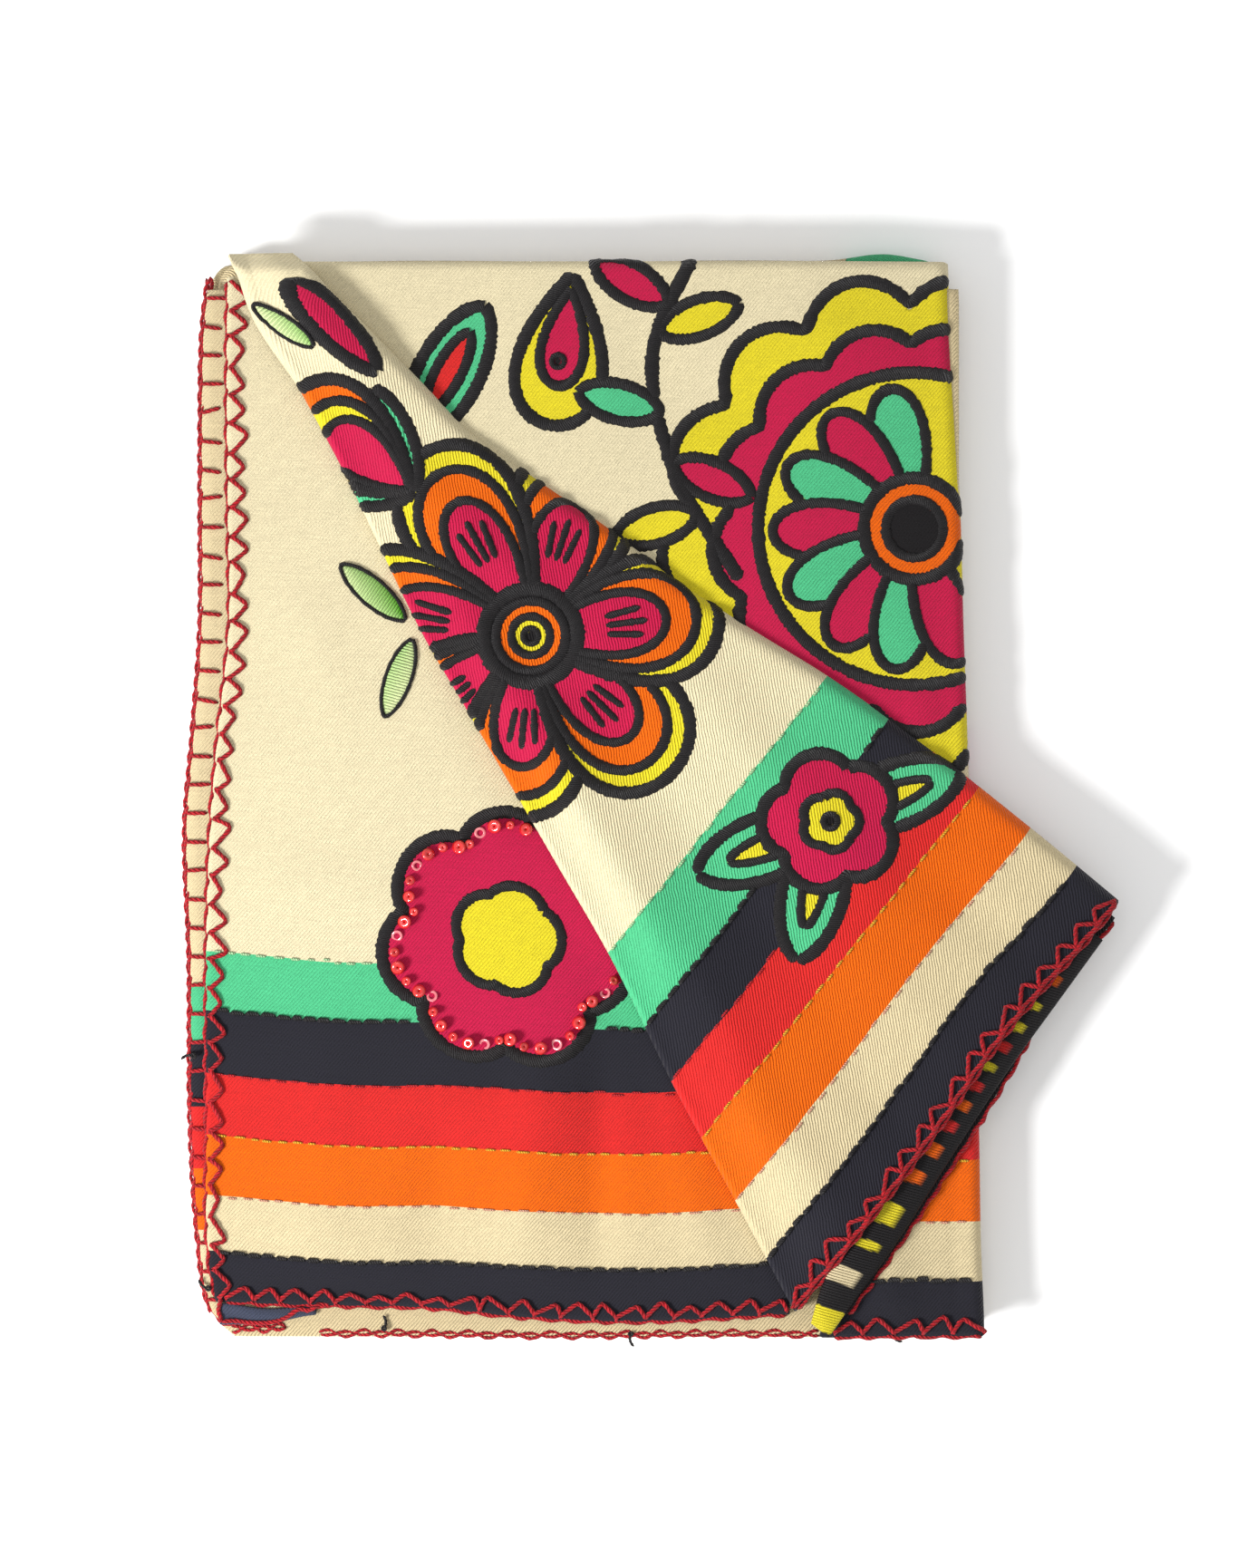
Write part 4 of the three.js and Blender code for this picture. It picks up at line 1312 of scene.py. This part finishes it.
def beads(name, spots, kind, material):
    """Small glass rings on the left panel, joined in one mesh. Every second one may be smaller."""
    across = np.linspace(0, 2 * math.pi, 16, endpoint=False)
    section = np.linspace(0, 2 * math.pi, 12, endpoint=False)
    tube = kind["radius"] * (1 - kind["hole"]) / 2
    ring = kind["radius"] * (1 + kind["hole"]) / 2
    height = kind["height"]
    points, faces = [], []
    for k, (u, v) in enumerate(spots):
        tilt = rng.uniform(-0.55, 0.55, 2)
        size = rng.uniform(0.95, 1.1) * (kind["smaller"] if k % 2 else 1)
        r = (ring + tube * np.cos(section)[None]) * size
        local = np.stack([
            r * np.cos(across)[:, None],
            r * np.sin(across)[:, None],
            np.repeat(height * size * tube * np.sin(section)[None], len(across), axis=0),
        ], axis=-1).reshape(-1, 3)
        local[:, 2] += tilt[0] * local[:, 0] + tilt[1] * local[:, 1]
        base = left.on(np.array([u]), np.array([v]), np.array([SKIN + tube * 1.2 * height]))[0]
        grid = quads(len(across) + 1, len(section), 0, closed=True)
        total = len(across) * len(section)
        faces += [[k * total + index % total for index in face] for face in grid]
        points.append(local + base)
    return add_mesh(name, np.concatenate(points), faces, material)


def bead_glass(name, colour, deep):
    paint = Paint(name, Specular_IOR_Level=0.7, Coat_Roughness=0.05, Coat_Weight=0.8)
    grain = paint.noise(paint.node("ShaderNodeTexCoord", {}, {}, "Object"), 900.0)
    return paint.finish(paint.mix(grain, colour, deep), 0.12 + grain * 0.1)


red_glass = bead_glass("bead_glass", linear(250, 48, 44), linear(206, 14, 26))
clear_glass = bead_glass("clear_glass", linear(250, 150, 150), linear(224, 90, 110))


RIM_INSET = 3.6
BEAD_SPACING = 4.4


def rosette_rim():
    """Places just inside the scalloped rim of the rosette."""
    outline = rosette(ROSETTE, ROSETTE_RADIUS - RIM_INSET, ROSETTE_LOBES, ROSETTE_DEPTH, ROSETTE_TURN)
    return resample(np.concatenate([outline, outline[:1]]), BEAD_SPACING)


def under_flap(u, v):
    """Says whether a place of the left panel is covered by the flap."""
    x, y, _ = left.place(u, v)
    across = (x - FLAP_FOOT[0]) * INWARDS[0] + (y - FLAP_FOOT[1]) * INWARDS[1]
    way = (x - FLAP_FOOT[0]) * HEM_WAY[0] + (y - FLAP_FOOT[1]) * HEM_WAY[1]
    return way > along(FLAP_SECTIONS, across, "fold") - 1.5


shown = [spot for spot in rosette_rim() if not under_flap(*spot)]
sequin_spots = [spot for k, spot in enumerate(shown) if k % 5 == 3]
bead_spots = [spot for k, spot in enumerate(shown) if k % 5 != 3]
beads("rosette_beads", bead_spots, SEED, red_glass)
beads("rosette_sequins", sequin_spots, SEQUIN, clear_glass)
print("beads:", len(bead_spots), "sequins:", len(sequin_spots))

# %% [markdown]
# Two satin-stitched leaves lie on the cream of the left panel, and a third at the back end of the
# flap. In satin stitch the threads lie side by side right across the leaf and stand up in the
# middle, so each leaf is a low dome. Their green deepens from one end to the other, and a fine
# black thread goes round each leaf. A row says where a leaf lies, how it is turned, its length and
# width, and how deep its green is.

# %% Satin leaves
LEAVES = [
    (left, (-77, 196.5), -40, 22, 7.6, 0.6), (left, (-70, 173.5), 70, 21, 7.2, 0.3),
    (flap, (126, 275.5), -86, 15, 5.4, 0.4),
]


def satin_leaves():
    points, faces, marks, rims = [], [], [], []
    rows, columns = 44, 11
    for stretch, centre, degrees, length, width, deep in LEAVES:
        s = np.linspace(-1, 1, rows)[:, None]
        t = np.linspace(-1, 1, columns)[None]
        half = width / 2 * (1 - s**2) ** 0.8 * (1 + rng.normal(0, 0.03, (rows, 1))) + 0.05
        across = np.stack([length / 2 * s + 0 * t, half * t], axis=-1).reshape(-1, 2)
        flat = turned(across, centre, degrees)
        tall = SKIN + 0.05 + 0.95 * np.sqrt(np.clip(1 - t**2, 0, 1)) * (1 - s**2) ** 0.5
        places = stretch.on(flat[:, 0], flat[:, 1], tall.ravel())
        faces += quads(rows, columns, sum(len(p) for p in points))
        points.append(places)
        tone = np.clip(deep + 0.5 * deep * s + 0.25 * t, 0, 1)
        marks.append(np.stack([length / 2 * s + 0 * t, half * t, tone], axis=-1).reshape(-1, 3))
        rim = leaf(centre, degrees, length + 1.0, width * 0.96)
        rim = np.concatenate([rim, rim[:1]])
        rims.append(stretch.on(rim[:, 0], rim[:, 1], np.full(len(rim), SKIN + 0.3)))
    values = {"stitch": np.concatenate(marks)}
    add_mesh("satin_leaves", np.concatenate(points), faces, leaf_thread, values)
    tubes("leaf_outlines", rims, 0.58, black_thread, sides=6, turn=1.8)


satin_leaves()
print("satin leaves:", len(LEAVES))

# %% [markdown]
# The layers inside the pack show only at its sides. Ten whole sheets would be hidden for the
# most part. So one skin goes round the hidden solid: level rings whose distance from the outline
# changes from layer to layer. The left side is open, so every layer has its own edge there, while
# on the other sides two layers turn as one fold.

# %% Layers at the sides of the pack
PAIRS = table("bottom top left right front back", [
    (0, 2.4, 1.2, 1, 1.4, 0.6), (2.4, 4.8, 2.6, 0.8, 0.5, 0.2), (4.8, 7.2, 0.8, 1.6, 1.8, 0.8),
    (7.2, 9.5, 2.2, 1.2, 0.4, -0.3), (9.5, 11.8, 1.4, 3.4, 1.6, 6.4),
])
RINGS_PER_PAIR = 11
SIDE_STEPS = 150
CORNER_STEPS = 6
CORNER_SHARE = 0.045
FOLD_DEPTH = 1.15
EDGE_DEPTH = 0.9
BULGE = 2.4
BULGE_PAIR = 3
BULGE_X = 64
GREEN_PEEK_X = 65
MAGENTA_PEEK_Y = 11


def pack_ring(pair, share):
    """One level ring of the pack's side. share runs from the bottom of a pair to its top."""
    one = np.linspace(-1 + CORNER_SHARE, 1 - CORNER_SHARE, SIDE_STEPS, endpoint=False)
    angle = np.linspace(0, math.pi / 2, CORNER_STEPS, endpoint=False)
    side_x = np.concatenate([np.ones(SIDE_STEPS), 1 - CORNER_SHARE * (1 - np.cos(angle))])
    side_y = np.concatenate([one, 1 - CORNER_SHARE * (1 - np.sin(angle))])
    across, up = [], []
    for quarter in range(4):
        turn = quarter * math.pi / 2
        across.append(side_x * math.cos(turn) - side_y * math.sin(turn))
        up.append(side_x * math.sin(turn) + side_y * math.cos(turn))
    across = np.concatenate(across)
    up = np.concatenate(up)
    fold = FOLD_DEPTH * (1 - np.sqrt(np.maximum(0, 1 - (2 * share - 1) ** 2)))
    half = (share * 2) % 1
    edge = EDGE_DEPTH * (1 - np.sqrt(np.maximum(0, 1 - (2 * half - 1) ** 2 * 0.98)))
    walk = np.arange(len(across))
    waver = 0.9 * np.sin(walk / 31 + 2.1 * pair + share) + 0.7 * np.sin(walk / 12.5 + 1.7 * pair)
    reach = {name: PAIRS[name][pair] for name in ("left", "right", "front", "back")}
    front = FRONT_Y + reach["front"] + fold
    y = front + (up + 1) / 2 * (BACK_Y - reach["back"] - fold - front)
    second = EDGE_DEPTH * (share > 0.5) * (pair % 2)
    low = along(SIDE_EDGES, y, "back_half") + reach["left"] + edge + second
    high = along(SIDE_EDGES, y, "right_panel") - reach["right"] - fold
    x = low + (across + 1) / 2 * (high - low)
    bottom = PAIRS["bottom"][pair]
    top = PAIRS["top"][pair] + (PACK_SLOPE * x if pair == len(PAIRS["top"]) - 1 else 0)
    inner = 0.35 * waver
    z = bottom + (top - bottom) * share + 0.14 * np.sin(walk / 14 + 3.1 * pair) * (pair > 0) * (1 - share)
    x = x + inner * np.sign(across) * (np.abs(across) > 0.9)
    y = y + inner * np.sign(up) * (np.abs(up) > 0.9)
    y = y + (pair == BULGE_PAIR) * BULGE * hump(x, BULGE_X, 11) * (up > 0.9) * np.sin(math.pi * share)
    return np.stack([x, y, z + 0 * x], axis=-1)


def lay_pack():
    shares = np.linspace(0, 1, RINGS_PER_PAIR)
    rings = np.array([pack_ring(pair, share) for pair in range(len(PAIRS["top"])) for share in shares])
    points = rings.reshape(-1, 3)
    faces = tube_faces(*rings.shape[:2])
    flat = np.stack([points[:, 0] + points[:, 1], 150 + points[:, 2] * 3, 0 * points[:, 0]], axis=-1)
    material = twill("twill_sides", BORDER_LEFT, CREAM_REVERSE, 0.03)
    green_peek = (points[:, 1] > 140) & (np.abs(points[:, 0] - GREEN_PEEK_X) < 12)
    magenta_peek = (points[:, 0] > 75) & (np.abs(points[:, 1] - MAGENTA_PEEK_Y) < 8)
    colour = np.zeros((len(flat), 4))
    colour[green_peek] = GREEN
    colour[magenta_peek] = MAGENTA
    values = {"flat": flat, "print": colour}
    piece = add_mesh("pack_layers", points, faces, material, values)
    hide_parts("hidden_layers")


lay_pack()
print("layers at the sides of the pack:", 2 * len(PAIRS["top"]))

# %% [markdown]
# At the front left a corner of the next layer is turned up, so its slate-coloured reverse shows
# between two rows of yarn. Below it the front fold carries the edge yarn of a lower layer as a
# chain of small loops. The hidden layers have yarn on their open edges at the left too. They are
# few and low, so plain waves along the edge are enough.

# %% Front corner and lower edges
CORNER_LEFT = -119.0
CORNER_RIGHT = -93.0
SLATE = linear(70, 76, 96)


def place_corner(u, v):
    u = np.asarray(u, float)
    share = (u - CORNER_LEFT) / (CORNER_RIGHT - CORNER_LEFT)
    y = left_hem_y(u) - 1.4 + v * (1 - 0.72 * share) + 0.5 * np.sin(u / 4)
    z = PACK_HEIGHT + PACK_SLOPE * u + CLOTH + 2 * GAP + 0.5 + 0.25 * np.sin(u / 5 + v)
    return np.stack([u + 0 * y, y, z + 0 * y], axis=-1)


def lay_corner():
    corner = Stretch(place_corner, None, 4)
    across = np.linspace(CORNER_LEFT, CORNER_RIGHT, 40)
    grid_v, grid_u = np.meshgrid(np.linspace(-5.4, 0, 8), across, indexing="ij")
    points, faces, flat = shell(grid_u, grid_v, corner, 0.9)
    values = {"flat": flat, "print": np.tile(SLATE, (len(flat), 1))}
    piece = add_mesh("corner_cloth", points, faces, twill_back, values)
    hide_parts("turned_corner")
    u = np.linspace(CORNER_LEFT + 0.3, CORNER_RIGHT + 4, 40)
    tucked = rise(u, CORNER_LEFT + 15, CORNER_RIGHT + 4)
    lower = np.stack([u, 0.3 * np.sin(u / 2.1) - 5.2 + 8 * tucked], axis=1)
    routes = [corner.on(lower[:, 0], lower[:, 1], 0.95 + 0.2 * np.cos(u / 1.9))]
    v = np.linspace(-5.2, 1.5, 14)
    routes.append(corner.on(CORNER_LEFT - 0.3 + 0.3 * np.sin(v), v, 0.95 + 0 * v))
    tubes("corner_edge_stitch", routes, YARN_RADIUS, yarn_finish)


def chain(x0, x1, y, z, pitch, sway):
    """Two threads that cross each other again and again, as in a row of loops."""
    x = np.linspace(x0, x1, int(abs(x1 - x0) / 0.8))
    routes = []
    for way, reach in ((1, sway), (-1, 0.5 * sway)):
        phase = 2 * math.pi * x / pitch + 0.8 * np.sin(x / 11)
        loops = way * reach * np.sin(phase) + 0.25 * np.sin(x / 17)
        routes.append(np.stack([x, y + loops, z + PACK_SLOPE * x + 0.3 * way * np.cos(phase)], axis=1))
    return routes


def lower_edges():
    """Yarn on the open edges of the hidden layers, each a little wavy."""
    routes = chain(-92, 46, FRONT_Y - 0.3, 13.2, 10.4, 1.0)
    routes += chain(-116, -101, FRONT_Y + 1.4, 13.6, 7.5, 1.2)
    for height, inset, phase in ((10.8, 0.7, 0.0), (8.6, 1.3, 1.9), (6.0, 0.3, 3.1), (3.5, 1.7, 4.4)):
        y = np.linspace(143, -143, 420)
        x = along(SIDE_EDGES, y, "back_half") + inset - 0.7 + 0.55 * np.sin(2 * math.pi * y / 8.3 + phase)
        z = height + 0.35 * np.cos(2 * math.pi * y / 8.3 + phase)
        routes.append(np.stack([x, y, z], axis=1))
    tubes("lower_edge_stitch", routes, YARN_RADIUS * 0.8, yarn_finish, sides=7)


THREAD_ENDS = [
    (-126.5, -72, 160), (-122.5, -136, 170), (-74, -147, 60), (-6, -148.6, 250), (66, -148.6, 290),
]


def thread_ends():
    """Short black thread ends and knots that stick out at the edges."""
    routes = []
    for x, y, degrees in THREAD_ENDS:
        a = math.radians(degrees) + np.linspace(0, 1.2, 9) * rng.choice([-1, 1])
        steps = np.stack([np.cos(a), np.sin(a)], axis=1).cumsum(axis=0) * 0.42
        height = 13.2 + 0.3 * np.sin(np.arange(9))
        routes.append(np.concatenate([np.array([[x, y]]) + steps, height[:, None]], axis=1))
        knot = np.linspace(0, 2.6 * math.pi, 14)
        spiral = np.stack([x + 0.5 * np.cos(knot), y + 0.5 * np.sin(knot), 13.0 + 0.12 * knot], axis=1)
        routes.append(spiral)
    tubes("thread_ends", routes, 0.4, black_thread, sides=6, turn=1.8)


lay_corner()
lower_edges()
thread_ends()
print("thread ends:", len(THREAD_ENDS))

# %% [markdown]
# One solid is left: the pleat that is hidden under the flap. A shell of its own would never be
# seen, so it keeps its solid and gets the cloth's finish.

# %% Finish of the solid that stays


def plain_cloth(name, colour):
    paint = Paint(name, Sheen_Weight=0.3, Specular_IOR_Level=0.2)
    spot = paint.node("ShaderNodeTexCoord", {}, {}, "Object")
    grain = paint.noise(spot, 1500.0, 3.0)
    tone = paint.mix(grain, colour, [0.6 * part for part in colour[:3]] + [1.0])
    return paint.finish(tone, 0.85 + grain * 0.1, grain, 0.2)


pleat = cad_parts["hidden_pleat"]
pleat.data.materials.clear()
pleat.data.materials.append(plain_cloth("pleat_cloth", CREAM_REVERSE))
print("hidden pleat keeps its", len(pleat.data.polygons), "faces")

# %% [markdown]
# The scarf is one cloth of 0.70 by 1.95 m, and each stretch is the part of it that shows, so its
# sizes are measured on the flat cloth.

# %% [markdown]
# The floor is a plain pale sheet. The camera looks straight down on the pack through a long lens,
# as in the photograph, and a soft light from the lower left throws the pale shadow to the right
# and to the back. A sun lamp would give hard shadows, so both lamps are round and wide.

# %% Floor, light and camera
PIXEL = 0.25
PHOTO_SIZE = (1365, 1730)
ORIGIN_PIXEL = (720, 877)
PACK_MIDDLE = 12
AIM = (PHOTO_SIZE[0] / 2 - ORIGIN_PIXEL[0], ORIGIN_PIXEL[1] - PHOTO_SIZE[1] / 2)
CENTRE = Vector((AIM[0] * PIXEL, AIM[1] * PIXEL, PACK_MIDDLE)) * MM
VIEW_WIDTH = PHOTO_SIZE[0] * PIXEL * MM
SENSOR = 36
DISTANCE = 1.7
FLOOR = 3.0
WORLD_LIGHT = 0.65


def add_floor():
    paint = Paint("floor_paper", Specular_IOR_Level=0.1)
    spot = paint.node("ShaderNodeTexCoord", {}, {}, "Object")
    grain = paint.noise(spot, 6.0)
    tone = paint.mix(grain, (0.93, 0.93, 0.93, 1.0), (0.95, 0.95, 0.95, 1.0))
    material = paint.finish(tone, 0.8 + grain * 0.1)
    mesh = bpy.data.meshes.new("floor")
    corners = [(-FLOOR, -FLOOR, 0), (FLOOR, -FLOOR, 0), (FLOOR, FLOOR, 0), (-FLOOR, FLOOR, 0)]
    mesh.from_pydata(corners, [], [(0, 1, 2, 3)])
    mesh.materials.append(material)
    floor = bpy.data.objects.new("floor", mesh)
    bpy.context.scene.collection.objects.link(floor)


def add_light(name, place, size, power):
    """A round lamp that shines at the origin."""
    data = bpy.data.lights.new(name, "AREA")
    data.shape = "DISK"
    data.size = size
    data.energy = power
    light = bpy.data.objects.new(name, data)
    light.location = place
    light.rotation_euler = (-Vector(place)).to_track_quat("-Z", "Y").to_euler()
    bpy.context.scene.collection.objects.link(light)


def add_camera():
    data = bpy.data.cameras.new("camera")
    data.sensor_fit = "HORIZONTAL"
    data.sensor_width = SENSOR
    data.lens = SENSOR * DISTANCE / VIEW_WIDTH
    camera = bpy.data.objects.new("camera", data)
    camera.location = CENTRE + Vector((0, 0, DISTANCE))
    bpy.context.scene.collection.objects.link(camera)
    bpy.context.scene.camera = camera


def add_world():
    world = bpy.data.worlds.new("studio")
    bpy.context.scene.world = world
    world.use_nodes = True
    background = world.node_tree.nodes["Background"]
    background.inputs[0].default_value = (1, 1, 1, 1)
    background.inputs[1].default_value = WORLD_LIGHT


add_floor()
add_world()
add_light("key", (-0.75, -0.45, 0.68), size=0.3, power=17.2)
add_light("top", (0.1, 0.1, 1.6), size=1.2, power=5.2)
add_camera()
bpy.context.scene.view_settings.view_transform = "Standard"
print("the camera sees", round(VIEW_WIDTH / MM), "mm across")
